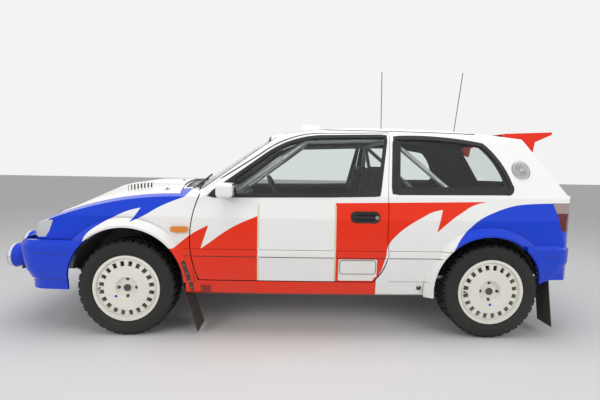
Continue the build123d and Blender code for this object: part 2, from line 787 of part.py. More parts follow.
def grille():
    """Slatted grille between the headlamps."""
    z0, z1 = GRILLE_Z
    panel = (outer - panel_inner) & block(front(-900), front(-560), -GRILLE_HALF, GRILLE_HALF, z0, z1)
    pitch = (z1 - z0 - 8) / GRILLE_SLOTS
    for n in range(GRILLE_SLOTS):
        z = z0 + 8 + n * pitch
        for x in (-1, 1):
            low, high = sorted((x * 10, x * (GRILLE_HALF - 10)))
            panel -= block(front(-900), front(-560), low, high, z, z + pitch - 8)
    return biggest(panel)


# Lamps and small outside pieces

def driving_lamps():
    """Four round lamps standing out of the bumper: a bowl with a rim and a flat lens."""
    bumper = bumper_form(*FRONT_BUMPER)
    lamps = []
    for y, z in DRIVING_LAMPS:
        face_x = front(LAMP_FACE_X)
        r = LAMP_RADIUS
        profile = outline((0, 0), (0, r - 8), (-8, r - 6), (-8, r), (22, r), (60, r - 10), (110, r - 38), (150, 0))
        bowl = revolve(Pos(face_x, y, z) * (Plane.XZ * profile), Axis((face_x, y, z), (1, 0, 0)))
        lamps.append(biggest(bowl - bumper))
    return Compound(children=lamps)


def side_repeaters():
    """Left-hand side repeater on the fender."""
    z = (REPEATER[2] + REPEATER[3]) / 2
    y = half_breadth(z)
    pod = block(front(REPEATER[0]), front(REPEATER[1]), -(y + 9), -(y - 12), REPEATER[2], REPEATER[3])
    pod = fillet(pod.edges().filter_by(Axis.Y), 12)
    return biggest(pod - outer)


def roof_vent():
    """Air intake standing on the roof."""
    profile = outline((front(1150), 1400), (front(1150), 1474), (front(1170), 1482), (front(1300), 1468),
                      (front(1330), 1440), (front(1330), 1400))
    return biggest(prism(profile, -VENT_HALF, VENT_HALF) - outer)


def antennas():
    """Two whip aerials on round feet."""
    made = []
    for (x, y, z), (tip_x, tip_y, tip_z) in ANTENNAS:
        foot = Pos(x, y, z - 14) * Cylinder(17, 44) - outer
        top = (x, y, z + 8)
        made.append(biggest(foot + rod(top, (tip_x, tip_y, tip_z), 3)))
    return Compound(children=made)


def wipers():
    """Two wiper arms and blades lying at the foot of the windscreen."""
    made = []
    along = (cos(radians(SCREEN_RAKE)), sin(radians(SCREEN_RAKE)))
    for y0, y1 in ((-520, -60), (40, 500)):
        arm = []
        for y, up in ((y0, 50), (y1, 130)):
            sag = SCREEN_RADIUS - sqrt(SCREEN_RADIUS ** 2 - y ** 2)
            x = SCREEN_POINT[0] + up * along[0] + (sag - WIPER_LIFT) * along[1]
            z = SCREEN_POINT[1] + up * along[1] - (sag - WIPER_LIFT) * along[0]
            arm.append((x, y, z))
        x, y, z = arm[0]
        made.append(rod(arm[0], arm[1], 7) + rod((x, y, z - 40), (x, y, z + 8), 11) - outer)
    return Compound(children=[biggest(w) for w in made])


def mud_flaps():
    """Left-hand mud flaps, front and rear, leaning back from their hangers."""
    made = []
    for axle, y0, y1, line in MUD_FLAPS:
        bent = Polyline(*[(axle + x, z) for x, z in line])
        made.append(biggest(prism(trace(bent, MUD_FLAP), -y1, -y0) - rear_skin))
    return Compound(children=made)


# Wheels

def tyre():
    """Tyre out to its tread lugs, about the Y axis at the origin."""
    half, r = TYRE_WIDTH / 2, TYRE_RADIUS
    bead, root = RIM_FLANGE_RADIUS + SEAT_GAP, TYRE_RADIUS - LUG_HEIGHT
    rows = ((209, 68), (209, 86), (bead, 88), (bead + 4, half - 2), (265, half + 8), (300, half + 2),
            (root, half - 9), (root - 5, half - 16), (root - 5, -half + 16), (root, -half + 9), (300, -half - 2),
            (265, -half - 8), (bead + 4, -half + 2), (bead, -88), (209, -86), (209, -68))
    made = revolve(Plane.YZ * make_face(Polyline(*[(y, z) for z, y in rows], close=True)), Axis.Y)
    profile = []
    for n in range(LUGS):
        for share, radius in ((0, root), (1 - LUG_SHARE, root), (1 - LUG_SHARE, r), (1, r)):
            angle = radians(360 * (n + share) / LUGS)
            profile.append((radius * cos(angle), radius * sin(angle)))
    band = prism(make_face(Polyline(*profile, close=True)), -half + 12, half - 12)
    return biggest(made + (band - cross_rod(0, 0, root - 12, -half, half)))


# Left-hand rim section, columns: radius, distance outwards from the middle of the tread
RIM_SECTION = (
    (RIM_FLANGE_RADIUS, 97), (RIM_FLANGE_RADIUS, 89), (207, 87), (207, 68), (190, 40), (190, -40),
    (207, -68), (207, -87), (RIM_FLANGE_RADIUS, -89), (RIM_FLANGE_RADIUS, -97), (200, -96), (200, -70),
    (183, -42), (183, 42), (193, 66), (188, 76), (140, 82), (80, 80), (66, 60), (HUB_RADIUS, 56),
    (HUB_RADIUS, HUB_BACK), (0, HUB_BACK), (0, 74), (26, 72), (30, 66), (60, 68), (76, 90), (140, 93),
    (186, 88), (198, 80), (202, 97),
)


def rim():
    """Left-hand wheel: barrel, dished disc with a ring of slots, stud holes and hub."""
    section = Plane.YZ * make_face(Polyline(*[(-y, r) for r, y in RIM_SECTION], close=True))
    wheel = revolve(section, Axis.Y)
    for n in range(RIM_SLOTS):
        slot = Pos(0, -80, RIM_SLOT_MIDDLE) * Box(RIM_SLOT[0], 60, RIM_SLOT[1])
        wheel -= slot.rotate(Axis.Y, 360 / RIM_SLOTS * (n + 0.5))
    for n in range(STUDS):
        hole = Pos(0, -70, STUD_CIRCLE / 2) * Rot(90, 0, 0) * Cylinder(STUD_HOLE_RADIUS, 60)
        wheel -= hole.rotate(Axis.Y, 360 / STUDS * n)
    bore = rod((0, -HUB_BACK + 1, 0), (0, -HUB_BACK - SPINDLE_LENGTH, 0), SPINDLE_RADIUS + SPINDLE_FIT)
    disc = rod((0, -HUB_BACK, 0), (0, -HUB_BACK - DISC_THICK, 0), DISC_RADIUS)
    return biggest(wheel + disc - bore)


def upright():
    """Left-hand wheel carrier about the wheel's centre, with the spindle that the wheel turns on."""
    y = -(KINGPIN_Y - WHEEL_CENTRE_Y)
    plate = Pos(0, y + 8, 0) * Box(80, 26, 2 * UPRIGHT_HALF)
    boss = rod((0, y + 10, 0), (0, -HUB_BACK + 4, 0), 36)
    spindle = rod((0, y, 0), (0, -HUB_BACK - SPINDLE_LENGTH + 3, 0), SPINDLE_RADIUS)
    arm = Pos(-75, y + 8, -20) * Box(90, 20, 24)
    return biggest(plate + boss + spindle + arm)


# Structure

def rear_bumper():
    """Rear bumper with the striker that the tailgate shuts on."""
    top = REAR_BUMPER_ROWS[-1][0]
    low, high = top - BUMPER_WALL, TAILGATE_LOW_Z - SEAT_GAP
    striker = block(rear(596), rear(614), -STRIKER_HALF, STRIKER_HALF, low, high)
    return biggest(rear_skin + striker)


def floor_pan():
    """Floor, bulkhead and rear panel in one ribbon cut out round the wheels, and the tunnel let into it."""
    line = Polyline((front(400), 900), (front(412), 500), (front(530), FLOOR_Z), (rear(-440), FLOOR_Z),
                    (rear(-405), REAR_FLOOR_Z), (rear(566), REAR_FLOOR_Z), (rear(572), REAR_PANEL_Z))
    ribbon = prism(trace(line, SHEET), -1000, 1000)
    half, top = TUNNEL
    low, end = FLOOR_Z - SHEET / 2, rear(-420)
    tunnel = block(front(430), end - SEAT_GAP, -half, half, low, top) & inner
    tunnel -= block(front(300), end, -half + SHEET, half - SHEET, 0, top - SHEET)
    made = (ribbon & inner) - block(front(0), end, -half - SEAT_GAP, half + SEAT_GAP, 0, top + SEAT_GAP)
    grown = [arch_cylinder(FRONT_AXLE_X, FRONT_ARCH, WHEELHOUSE_INNER_Y - 10, 900, 10),
             arch_cylinder(REAR_AXLE_X, REAR_ARCH, WHEELHOUSE_INNER_Y - 10, 900, 10)]
    room = door_hole - body_form(DOOR_WALL + SHUT_GAP)
    made = made - grown - [mirror(a, Plane.XZ) for a in grown] - room - mirror(room, Plane.XZ)
    made = biggest(made - rear_skin)
    for low, high in POST_HEIGHTS:
        post = block(front(400), front(500), -900, -740, low, high) & body_form(DOOR_WALL + SHUT_GAP)
        pad = block(front(452), front(500), -900, -740, low, high) & body_form(DOOR_WALL + SEAT_GAP)
        made += [post, pad, mirror(post, Plane.XZ), mirror(pad, Plane.XZ)]
    return Compound(children=[biggest(made), biggest(tunnel)])


def wheel_housing(axle_x, arch):
    """Left-hand wheel housing: an arched liner, its inner wall and the tower over the strut."""
    y0, y1 = WHEELHOUSE_INNER_Y, BODY_HALF - WALL - 8
    low = HUB_Z + 110
    solid = arch_cylinder(axle_x, arch, y0 - WHEELHOUSE_WALL, y1, -1)
    tower = upright_round(axle_x, -TOWER_Y, TOWER_RADIUS, TOWER_TOP_Z)
    hollow = arch_cylinder(axle_x, arch, y0, y1 + 50, -1 - WHEELHOUSE_WALL)
    bore = upright_round(axle_x, -TOWER_Y, TOWER_RADIUS - WHEELHOUSE_WALL, TOWER_TOP_Z - WHEELHOUSE_WALL)
    made = (solid + tower) - hollow - bore
    made = biggest(made & block(axle_x - 600, axle_x + 600, -1000, 0, low, 1200) - inner_cut())
    if axle_x == FRONT_AXLE_X:
        post = rod((axle_x + 50, -TOWER_Y, TOWER_TOP_Z - 2), (axle_x + 50, -TOWER_Y, 1200), BUFFER_RADIUS)
        made = biggest(made + (post & body_form(BONNET_WALL + SEAT_GAP)))
    return made


def inner_cut():
    """Everything outside the body's inner form, near the housings."""
    return block(front(-700), rear(700), -1000, 1000, 380, 1300) - inner


def strut(axle_x):
    """Left-hand strut: damper tube, coil housing and top mount under its tower."""
    foot = HUB_Z + 112
    tube = rod((axle_x, -TOWER_Y, foot), (axle_x, -TOWER_Y, TOWER_TOP_Z - WHEELHOUSE_WALL), STRUT_RADIUS)
    spring = rod((axle_x, -TOWER_Y, 664), (axle_x, -TOWER_Y, TOWER_TOP_Z - 20), SPRING_RADIUS)
    return tube + spring


def front_suspension():
    """Crossmember with both lower arms, and the two struts."""
    beam = block(front(-60), front(110), -350, 350, PLATE_Z + SHEET / 2 + SEAT_GAP, GEARBOX_Z - SEAT_GAP)
    made = [strut(FRONT_AXLE_X), mirror(strut(FRONT_AXLE_X), Plane.XZ)]
    for side in (-1, 1):
        tip = (front(0), side * (KINGPIN_Y - 12), HUB_Z - UPRIGHT_HALF - BALL_HEIGHT / 2 - SEAT_GAP)
        end = (tip[0], tip[1], tip[2] - 4)
        beam += rod((front(-20), side * 335, ARM_Z + 28), end, 13)
        beam += rod((front(80), side * 335, ARM_Z + 28), end, 12)
        beam += Pos(tip[0], tip[1], tip[2]) * Cylinder(16, BALL_HEIGHT)
    return Compound(children=[biggest(beam)] + [biggest(m) for m in made])


def rear_suspension():
    """Crossmember with the drive, lateral links, uprights with their spindles, and the two struts."""
    x = REAR_AXLE_X
    beam = block(x - 90, x + 60, -330, 330, 250, 300) + Pos(x - 10, 0, HUB_Z) * Box(200, 220, 150)
    for side in (-1, 1):
        beam += rod((x, 0, HUB_Z), (x, side * 640, HUB_Z), 15)
        beam += rod((x - 60, side * 320, 275), (x - 20, side * 632, 248), 13)
        beam += rod((x + 40, side * 320, 275), (x + 20, side * 632, 248), 13)
        beam += rod((x, side * TOWER_Y, HUB_Z + 112), (x, side * 632, HUB_Z + 80), 16)
        carrier = Pos(x, -WHEEL_CENTRE_Y, HUB_Z) * upright()
        beam += carrier if side < 0 else mirror(carrier, Plane.XZ)
        post = strut(x)
        beam += post if side < 0 else mirror(post, Plane.XZ)
    return biggest(beam)


def engine_block():
    """The engine and gearbox as one plain mass."""
    engine = block(front(-330), front(70), -330, 330, 300, 800)
    gearbox = block(front(-200), front(180), -140, 140, GEARBOX_Z, 480)
    return engine + gearbox


def radiator():
    """Radiator behind the grille, with its side tanks."""
    core = block(front(-640), front(-590), -300, 300, 330, 640)
    for side in (-1, 1):
        core += block(front(-650), front(-580), side * 300, side * 345, 340, 630)
    return core


def skid_plate():
    """Sump guard, swept up at the front."""
    shelf = 330 - SHEET / 2 - SEAT_GAP
    under_floor = FLOOR_Z - SHEET - SEAT_GAP
    line = Polyline((front(-665), shelf), (front(-572), shelf), (front(-330), 200), (front(-100), PLATE_Z),
                    (front(300), PLATE_Z), (front(520), under_floor), (front(556), under_floor))
    return prism(trace(line, SHEET), -330, 330)


def fuel_tank():
    """Fuel tank under the boot floor."""
    tank = block(rear(150), rear(520), -380, 380, 268, REAR_FLOOR_Z - SHEET / 2)
    return fillet(tank.edges().filter_by(Axis.Z), 40)


def exhaust():
    """Exhaust pipe from the engine under the tunnel to a silencer and a tail pipe."""
    y, low_z = 50, 196
    run = ((front(590), y, EXHAUST_Z), (rear(-560), y, EXHAUST_Z), (rear(-300), 300, low_z),
           (rear(150), 470, low_z), (rear(600), 500, 285))
    pipe = rod((front(700), y, EXHAUST_Z), (front(1150), y, EXHAUST_Z), EXHAUST_RADIUS + 15)
    pipe += rod((rear(200), 474, 207), (rear(470), 491, 259), EXHAUST_RADIUS + 18)
    for a, b in zip(run, run[1:]):
        pipe += rod(a, b, EXHAUST_RADIUS) + Pos(*a) * Sphere(EXHAUST_RADIUS + 1)
    for x in (front(620), front(1300)):
        pipe += rod((x, y, EXHAUST_Z), (x, y, TUNNEL[1] - SHEET - SEAT_GAP), 6)
    return biggest(pipe)


def roll_cage():
    """Cage of round tube: main hoop, roof bars, pillar bars, door bars, diagonal and rear stays."""
    floor_z = FLOOR_Z + SHEET / 2 + SEAT_GAP
    corner, waist = (HOOP_X, *HOOP_TOP), (HOOP_X, HOOP_FOOT_Y, 1060)
    shoulder, knee = (front(578), 642, 880), (front(1010), 590, 1195)
    head = (front(1180), HOOP_TOP[0], 1322)
    tubes = (
        (HOOP_RADIUS, (HOOP_X, HOOP_FOOT_Y, floor_z), waist),
        (HOOP_RADIUS, waist, corner),
        (CAGE_RADIUS, (front(578), 642, floor_z), shoulder),
        (CAGE_RADIUS, shoulder, knee),
        (CAGE_RADIUS, knee, head),
        (CAGE_RADIUS, head, corner),
        (STAY_RADIUS, (front(578), 642, 560), (HOOP_X, HOOP_FOOT_Y, 430)),
        (STAY_RADIUS, corner, (rear(-60), 548, 868)),
    )
    beads = ((HOOP_RADIUS, corner), (HOOP_RADIUS, waist), (CAGE_RADIUS, shoulder), (CAGE_RADIUS, knee),
             (CAGE_RADIUS, head))
    made = rod(across(corner, -1), corner, HOOP_RADIUS)
    made += rod(across(head, -1), head, CAGE_RADIUS)
    made += rod((HOOP_X, -HOOP_FOOT_Y, FLOOR_Z + 30), corner, STAY_RADIUS)
    for side in (-1, 1):
        for radius, start, end in tubes:
            made += rod(across(start, side), across(end, side), radius)
        for radius, place in beads:
            made += Pos(*across(place, side)) * Sphere(radius + CAGE_BEAD)
    return biggest(made)


def across(place, side):
    """A right-hand point, or its match on the left where side is -1."""
    x, y, z = place
    return (x, side * y, z)


def bucket_seat(y):
    """One bucket seat: a deep shell on two rails, and the side panels fixed to it."""
    x = SEAT_X
    outside = outline((x, 300), (x, 470), (x + 60, 500), (x + 330, 520), (x + 350, 700), (x + 372, 900),
                      (x + 420, 1130), (x + 470, 1150), (x + 500, 1130), (x + 470, 700), (x + 430, 300))
    inside = outline((x - 20, 400), (x - 20, 700), (x + 200, 1300), (x + 424, 1300), (x + 424, 1100),
                     (x + 396, 700), (x + 380, 420), (x + 340, 385), (x + 40, 400))
    shell_half = SEAT_HALF - SEAT_WALL
    shell = prism(outside, y - shell_half, y + shell_half) - prism(inside, y - SEAT_HALF, y + SEAT_HALF)
    shell -= block(x - 50, x + 600, y - 90, y + 90, 1060, 1110)
    sides = []
    for side in (-1, 1):
        rail_y = y + side * (shell_half - 2 * SEAT_RAIL_HALF)
        low = FLOOR_Z + SHEET / 2 + SEAT_GAP
        shell += block(x + 20, x + 420, rail_y - SEAT_RAIL_HALF, rail_y + SEAT_RAIL_HALF, low, 310)
        sides.append(prism(outside, y + side * (shell_half + SEAT_GAP), y + side * SEAT_HALF))
    return [biggest(shell)] + [biggest(panel) for panel in sides]


def dashboard():
    """Dash top and instrument panel across the cabin."""
    face = outline((front(405.2), 870), (front(500), 960), (front(640), 945), (front(700), 900),
                   (front(690), 700), (front(600), 690), (front(420), 760))
    slab = prism(face, -DASH_HALF, DASH_HALF)
    hump = block(front(640), front(DASH_REAR), -SEAT_Y - 170, -SEAT_Y + 170, 820, 940)
    return biggest((slab + hump) & body_form(DOOR_WALL + 10))


def steering_column(dash):
    """Column from the dashboard to the wheel."""
    x, y, z = STEERING_WHEEL
    lean = radians(WHEEL_TILT)
    along = (cos(lean), sin(lean))
    near, far = HUB_DEPTH + SEAT_GAP, 300
    start, end = [(x - reach * along[0], y, z - reach * along[1]) for reach in (near, far)]
    tube = rod(start, end, COLUMN_RADIUS)
    return max((tube - Pos(SEAT_GAP, 0, 0) * dash).solids(), key=lambda solid: solid.center().X)


def steering_wheel():
    """Three-spoke wheel, dished towards the driver."""
    x, y, z = STEERING_WHEEL
    lean = radians(WHEEL_TILT)
    face = Plane(origin=(x, y, z), x_dir=(0, 1, 0), z_dir=(cos(lean), 0, sin(lean)))
    made = Torus(STEERING_RADIUS, STEERING_GRIP) + Pos(0, 0, 11 - HUB_DEPTH) * Cylinder(34, 22)
    for angle in (0, 180, 270):
        spoke = Pos(STEERING_RADIUS / 2, 0, -4) * Box(STEERING_RADIUS, 26, 5)
        made += spoke.rotate(Axis.Z, angle)
    return biggest(face * made)


# Every piece by its node's name

os.makedirs("parts", exist_ok=True)

glass = {
    "windscreen": glass_skin & glass_prism(SCREEN_POINT, SCREEN_RAKE, -1, SCREEN_OPENING, -SEAT_GAP),
    "tailgate_glass": glass_skin & glass_prism(HATCH_POINT, HATCH_RAKE, 1, HATCH_OPENING, -SEAT_GAP),
}
for node, pane in glass.items():
    write(node, Compound(children=[biggest(pane)]))
write("quarter_glass", both(biggest(glass_skin & window_prism(QUARTER_WINDOW, -SEAT_GAP))))

write("scuttle", middle_part(front(230), front(620), 600, 1150))
write("roof_panel", middle_part(front(620), TAILGATE_SEAM_X, 1150, 1600))
write("nose_panel", nose_panel())
write("grille", grille())
write("front_bumper", biggest(front_skin - intakes()))
write("rear_bumper", rear_bumper())
write("front_fenders", both(fender()))
side = body_side()
write("body_side_left", side)
write("body_side_right", mirror(side, Plane.XZ))
write("front_lamps", both(Compound(children=[biggest(lamp(headlamp_zone(), HEADLAMP_DEPTH)),
                                             biggest(lamp(corner_lamp_zone(), HEADLAMP_DEPTH))])))
write("tail_lamps", both(biggest(lamp(tail_lamp_zone(), HEADLAMP_DEPTH))))
write("driving_lamps", driving_lamps())
write("side_repeaters", both(side_repeaters()))
write("roof_vent", roof_vent())
write("antennas", antennas())
write("wipers", wipers())
write("mud_flaps", both(mud_flaps()))
write("bonnet", bonnet())
write("tailgate", tailgate())
write("rear_wing", rear_wing())

left_door = {
    "door": door(),
    "door_glass": biggest(glass_skin & window_prism(DOOR_WINDOW, -SEAT_GAP)),
    "door_mirror": door_mirror(),
    "door_handle": door_handle(),
}
for node, shape in left_door.items():
    write(f"{node}_left", shape)
    write(f"{node}_right", mirror(shape, Plane.XZ))

wheel = {"tyre": tyre(), "rim": rim()}
for end, axle_x in (("front", FRONT_AXLE_X), ("rear", REAR_AXLE_X)):
    for node, shape in wheel.items():
        placed = Pos(axle_x, -WHEEL_CENTRE_Y, HUB_Z) * shape
        write(f"{node}_{end}_left", placed)
        write(f"{node}_{end}_right", mirror(placed, Plane.XZ))
carrier = Pos(FRONT_AXLE_X, -WHEEL_CENTRE_Y, HUB_Z) * upright()
write("knuckle_left", carrier)
write("knuckle_right", mirror(carrier, Plane.XZ))

write("floor_pan", floor_pan())
write("wheel_housings", both(Compound(children=[wheel_housing(FRONT_AXLE_X, FRONT_ARCH),
                                                wheel_housing(REAR_AXLE_X, REAR_ARCH)])))
write("front_suspension", front_suspension())
write("rear_suspension", rear_suspension())
write("engine_block", engine_block())
write("radiator", radiator())
write("skid_plate", skid_plate())
write("fuel_tank", fuel_tank())
write("exhaust", exhaust())
write("roll_cage", roll_cage())
write("seats", Compound(children=bucket_seat(-SEAT_Y) + bucket_seat(SEAT_Y)))
dash = dashboard()
write("dashboard", dash)
write("steering_column", steering_column(dash))
write("steering_wheel", steering_wheel())
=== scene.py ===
"""Rally hatchback: paint scheme, glass, rubber, tyres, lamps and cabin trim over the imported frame."""
from math import atan2, cos, exp, hypot, pi, radians, sin
import bmesh
import bpy
from mathutils import Matrix, Vector


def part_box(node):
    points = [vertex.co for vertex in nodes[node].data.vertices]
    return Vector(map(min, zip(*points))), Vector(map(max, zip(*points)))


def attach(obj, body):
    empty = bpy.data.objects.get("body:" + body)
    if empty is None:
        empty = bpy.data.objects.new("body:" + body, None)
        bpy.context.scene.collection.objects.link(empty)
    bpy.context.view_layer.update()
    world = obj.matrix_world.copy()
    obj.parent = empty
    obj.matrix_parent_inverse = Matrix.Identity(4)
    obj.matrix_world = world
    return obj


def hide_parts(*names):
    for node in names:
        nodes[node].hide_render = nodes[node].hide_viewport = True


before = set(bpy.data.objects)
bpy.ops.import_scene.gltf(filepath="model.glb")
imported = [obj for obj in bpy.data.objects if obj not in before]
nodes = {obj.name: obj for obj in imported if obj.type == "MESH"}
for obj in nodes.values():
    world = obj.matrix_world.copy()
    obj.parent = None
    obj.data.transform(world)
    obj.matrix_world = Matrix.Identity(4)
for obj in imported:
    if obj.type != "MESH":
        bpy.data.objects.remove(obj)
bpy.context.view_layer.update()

X, Y, Z = Vector((1, 0, 0)), Vector((0, 1, 0)), Vector((0, 0, 1))

FRONT_AXLE_X = -1.125
REAR_AXLE_X = 1.305
WHEEL_Y = 0.718
HUB_Z = 0.32

# Photograph's camera
CAMERA_PLACE = (-0.0476, -3.4168, 1.144)
CAMERA_YAW = 0.0226
CAMERA_PITCH = 0.0844
CAMERA_ROLL = 0.0176
LENS = 24.0

WHITE = (0.87, 0.87, 0.855, 1)
BLUE = (0.002, 0.048, 0.64, 1)
RED = (0.84, 0.028, 0.004, 1)
CREAM = (0.84, 0.83, 0.75, 1)
# Painted shade: the dark colour put on panel faces that look into the cabin
CABIN_SHADE = (0.02, 0.02, 0.022, 1)
DARK_RED = (0.3, 0.012, 0.01, 1)
BLACK = (0.012, 0.012, 0.013, 1)
RUBBER = (0.022, 0.022, 0.023, 1)

CABIN_MIDDLE = (0.35, 0.0, 0.72)
# Above and behind this x and z lies the tailgate's front edge, which gets no painted cabin shade
HATCH_EDGE = (1.447, 1.386)

# Range of the paint scheme's curves, in metres: X from, X to, Z from, Z to
SCHEME = (-2.0, 2.0, 0.2, 1.2)
# Half the width over which one colour turns into the next
SOFT_EDGE = 0.0012


# Node trees

def add(tree, kind, inputs=None, **settings):
    """A node with its settings, and its inputs by name or number: a socket is linked, the rest is set."""
    made = tree.nodes.new(kind)
    for key, value in settings.items():
        setattr(made, key, value)
    for key, value in (inputs or {}).items():
        if isinstance(value, bpy.types.NodeSocket):
            tree.links.new(value, made.inputs[key])
        else:
            made.inputs[key].default_value = value
    return made


def sums(tree, operation, *values):
    """One step of arithmetic."""
    return add(tree, "ShaderNodeMath", dict(enumerate(values)), operation=operation).outputs[0]


def vectors(tree, operation, *values):
    """One step of arithmetic with vectors."""
    return add(tree, "ShaderNodeVectorMath", dict(enumerate(values)), operation=operation).outputs


def folded(tree, operation, *values):
    """One operation over many values."""
    whole = values[0]
    for value in values[1:]:
        whole = sums(tree, operation, whole, value)
    return whole


def mixed(tree, factor, a, b):
    """A colour between two, by a mask."""
    return add(tree, "ShaderNodeMix", {0: factor, 6: a, 7: b}, data_type="RGBA").outputs[2]


def ramp(tree, value, low, high, first=0.0, last=1.0):
    """A slope from first to last while a value goes from low to high."""
    return add(tree, "ShaderNodeMapRange", {0: value, 1: low, 2: high, 3: first, 4: last}).outputs[0]


def object_place(tree):
    """The shaded point."""
    return add(tree, "ShaderNodeTexCoord").outputs["Object"]


def position(tree):
    """X, Y and Z of the shaded point."""
    return add(tree, "ShaderNodeSeparateXYZ", {0: object_place(tree)}).outputs


def noise(tree, scale, detail, roughness=0.5):
    """Cloudy noise over the object."""
    inputs = {"Vector": object_place(tree), "Scale": scale, "Detail": detail, "Roughness": roughness}
    return add(tree, "ShaderNodeTexNoise", inputs).outputs[0]


def use(tree, group, **inputs):
    """A shader group placed in a tree."""
    return add(tree, "ShaderNodeGroup", inputs, node_tree=group).outputs


def effect(name, inputs, *outputs):
    """An empty shader group with inputs by name and value, four numbers being a colour, and outputs."""
    tree = bpy.data.node_groups.new(name, "ShaderNodeTree")
    for label, value in inputs.items():
        kind = {3: "Vector", 4: "Color"}[len(value)] if isinstance(value, tuple) else "Float"
        socket = tree.interface.new_socket(label, in_out="INPUT", socket_type="NodeSocket" + kind)
        socket.default_value = value
    for label in outputs:
        kind = "Color" if label == "Color" else "Float"
        tree.interface.new_socket(label, in_out="OUTPUT", socket_type="NodeSocket" + kind)
    return tree, tree.nodes.new("NodeGroupInput").outputs, tree.nodes.new("NodeGroupOutput").inputs


def spotted(name, inputs, spots, strength):
    """A tint over a colour in spots, densest low down; out come the colour and the spots' mask."""
    tree, given, out = effect(name, inputs, "Color", "Mask")
    fall = ramp(tree, position(tree)["Z"], given["Low"], given["High"], 1.0, 0.0)
    mask = folded(tree, "MULTIPLY", spots(tree), fall, given["Amount"], strength)
    mask = add(tree, "ShaderNodeClamp", {0: mask}).outputs[0]
    tree.links.new(mixed(tree, mask, given["Color"], given["Tint"]), out["Color"])
    tree.links.new(mask, out["Mask"])
    return tree


def dust(tree):
    """Patches broken up by specks."""
    return sums(tree, "MULTIPLY", noise(tree, 7.0, 6.0, 0.62), noise(tree, 95.0, 3.0))


def stone_chips(tree):
    """Small bare spots with sharp edges."""
    return ramp(tree, noise(tree, 42.0, 8.0, 0.72), 0.6, 0.64)


def flow_effect():
    """The paint's slight unevenness, as a height."""
    tree, given, out = effect("paint_flow", {"Scale": 160.0}, "Height")
    tree.links.new(noise(tree, given["Scale"], 2.0), out["Height"])
    return tree


def inner_faces_effect():
    """Mask of the faces that look into the car, where the cabin's shade is painted."""
    tree, given, out = effect("inner_faces", {"Middle": CABIN_MIDDLE}, "Mask")
    places = add(tree, "ShaderNodeTexCoord").outputs
    outward = vectors(tree, "SUBTRACT", places["Object"], given["Middle"])[0]
    outward = vectors(tree, "NORMALIZE", outward)[0]
    facing = vectors(tree, "DOT_PRODUCT", places["Normal"], outward)["Value"]
    mask = ramp(tree, facing, -0.1, -0.16)
    place = position(tree)
    edge = sums(tree, "MULTIPLY", sums(tree, "GREATER_THAN", place["X"], HATCH_EDGE[0]),
                sums(tree, "GREATER_THAN", place["Z"], HATCH_EDGE[1]))
    tree.links.new(sums(tree, "MULTIPLY", mask, sums(tree, "SUBTRACT", 1.0, edge)), out["Mask"])
    return tree


# Strength of the dust's mask before it is cut off at 1
DUST_STRENGTH = 3.2
grime = spotted("grime", {"Color": WHITE, "Tint": (0.16, 0.13, 0.1, 1), "Amount": 0.3, "Low": 0.25,
                          "High": 0.9}, dust, DUST_STRENGTH)
chips = spotted("stone_chips", {"Color": WHITE, "Tint": (0.2, 0.17, 0.15, 1), "Amount": 0.5, "Low": 0.28,
                                "High": 0.42}, stone_chips, 1.0)
flow = flow_effect()
inner_faces = inner_faces_effect()


# Paint scheme of the sides

# Edges of the colours, each a run of (x, z) points from the nose towards the tail
RED_CREST = ((-0.835, 0.575), (-0.82, 0.588), (-0.775, 0.627), (-0.7, 0.687), (-0.636, 0.725),
             (-0.584, 0.751))
RED_NOTCH = ((-0.634, 0.598), (-0.62, 0.667), (-0.584, 0.751))
RED_SWEEP = ((-0.63, 0.598), (-0.584, 0.631), (-0.493, 0.698), (-0.403, 0.754), (-0.261, 0.817))
RED_TAIL_TOP = ((0.24, 0.906), (1.268, 0.927))
RED_TAIL_LOW = ((0.923, 0.722), (0.974, 0.767), (1.034, 0.817), (1.103, 0.862), (1.154, 0.894),
                (1.207, 0.914), (1.268, 0.927))
RED_TAIL_PEAK = ((0.923, 0.722), (0.96, 0.871))
RED_TAIL_BACK = ((0.526, 0.401), (0.57, 0.496), (0.585, 0.58), (0.599, 0.632), (0.657, 0.705), (0.743, 0.773),
                 (0.829, 0.823), (0.907, 0.86), (0.96, 0.871))
BLUE_NOSE = ((-1.5, 0.629), (-1.399, 0.629), (-1.381, 0.66), (-1.347, 0.703), (-1.281, 0.749),
             (-1.215, 0.787), (-1.1, 0.839), (-1.03, 0.856))
BLUE_NOTCH = ((-1.093, 0.764), (-1.03, 0.856))
BLUE_SWEEP = ((-1.093, 0.764), (-1.019, 0.799), (-0.892, 0.872), (-0.74, 0.934), (-0.63, 0.973))
BLUE_TAIL = ((1.024, 0.58), (1.033, 0.601), (1.049, 0.637), (1.086, 0.691), (1.144, 0.752), (1.195, 0.797),
             (1.247, 0.829), (1.308, 0.856), (1.378, 0.882), (1.466, 0.905), (1.555, 0.915), (1.95, 0.925))


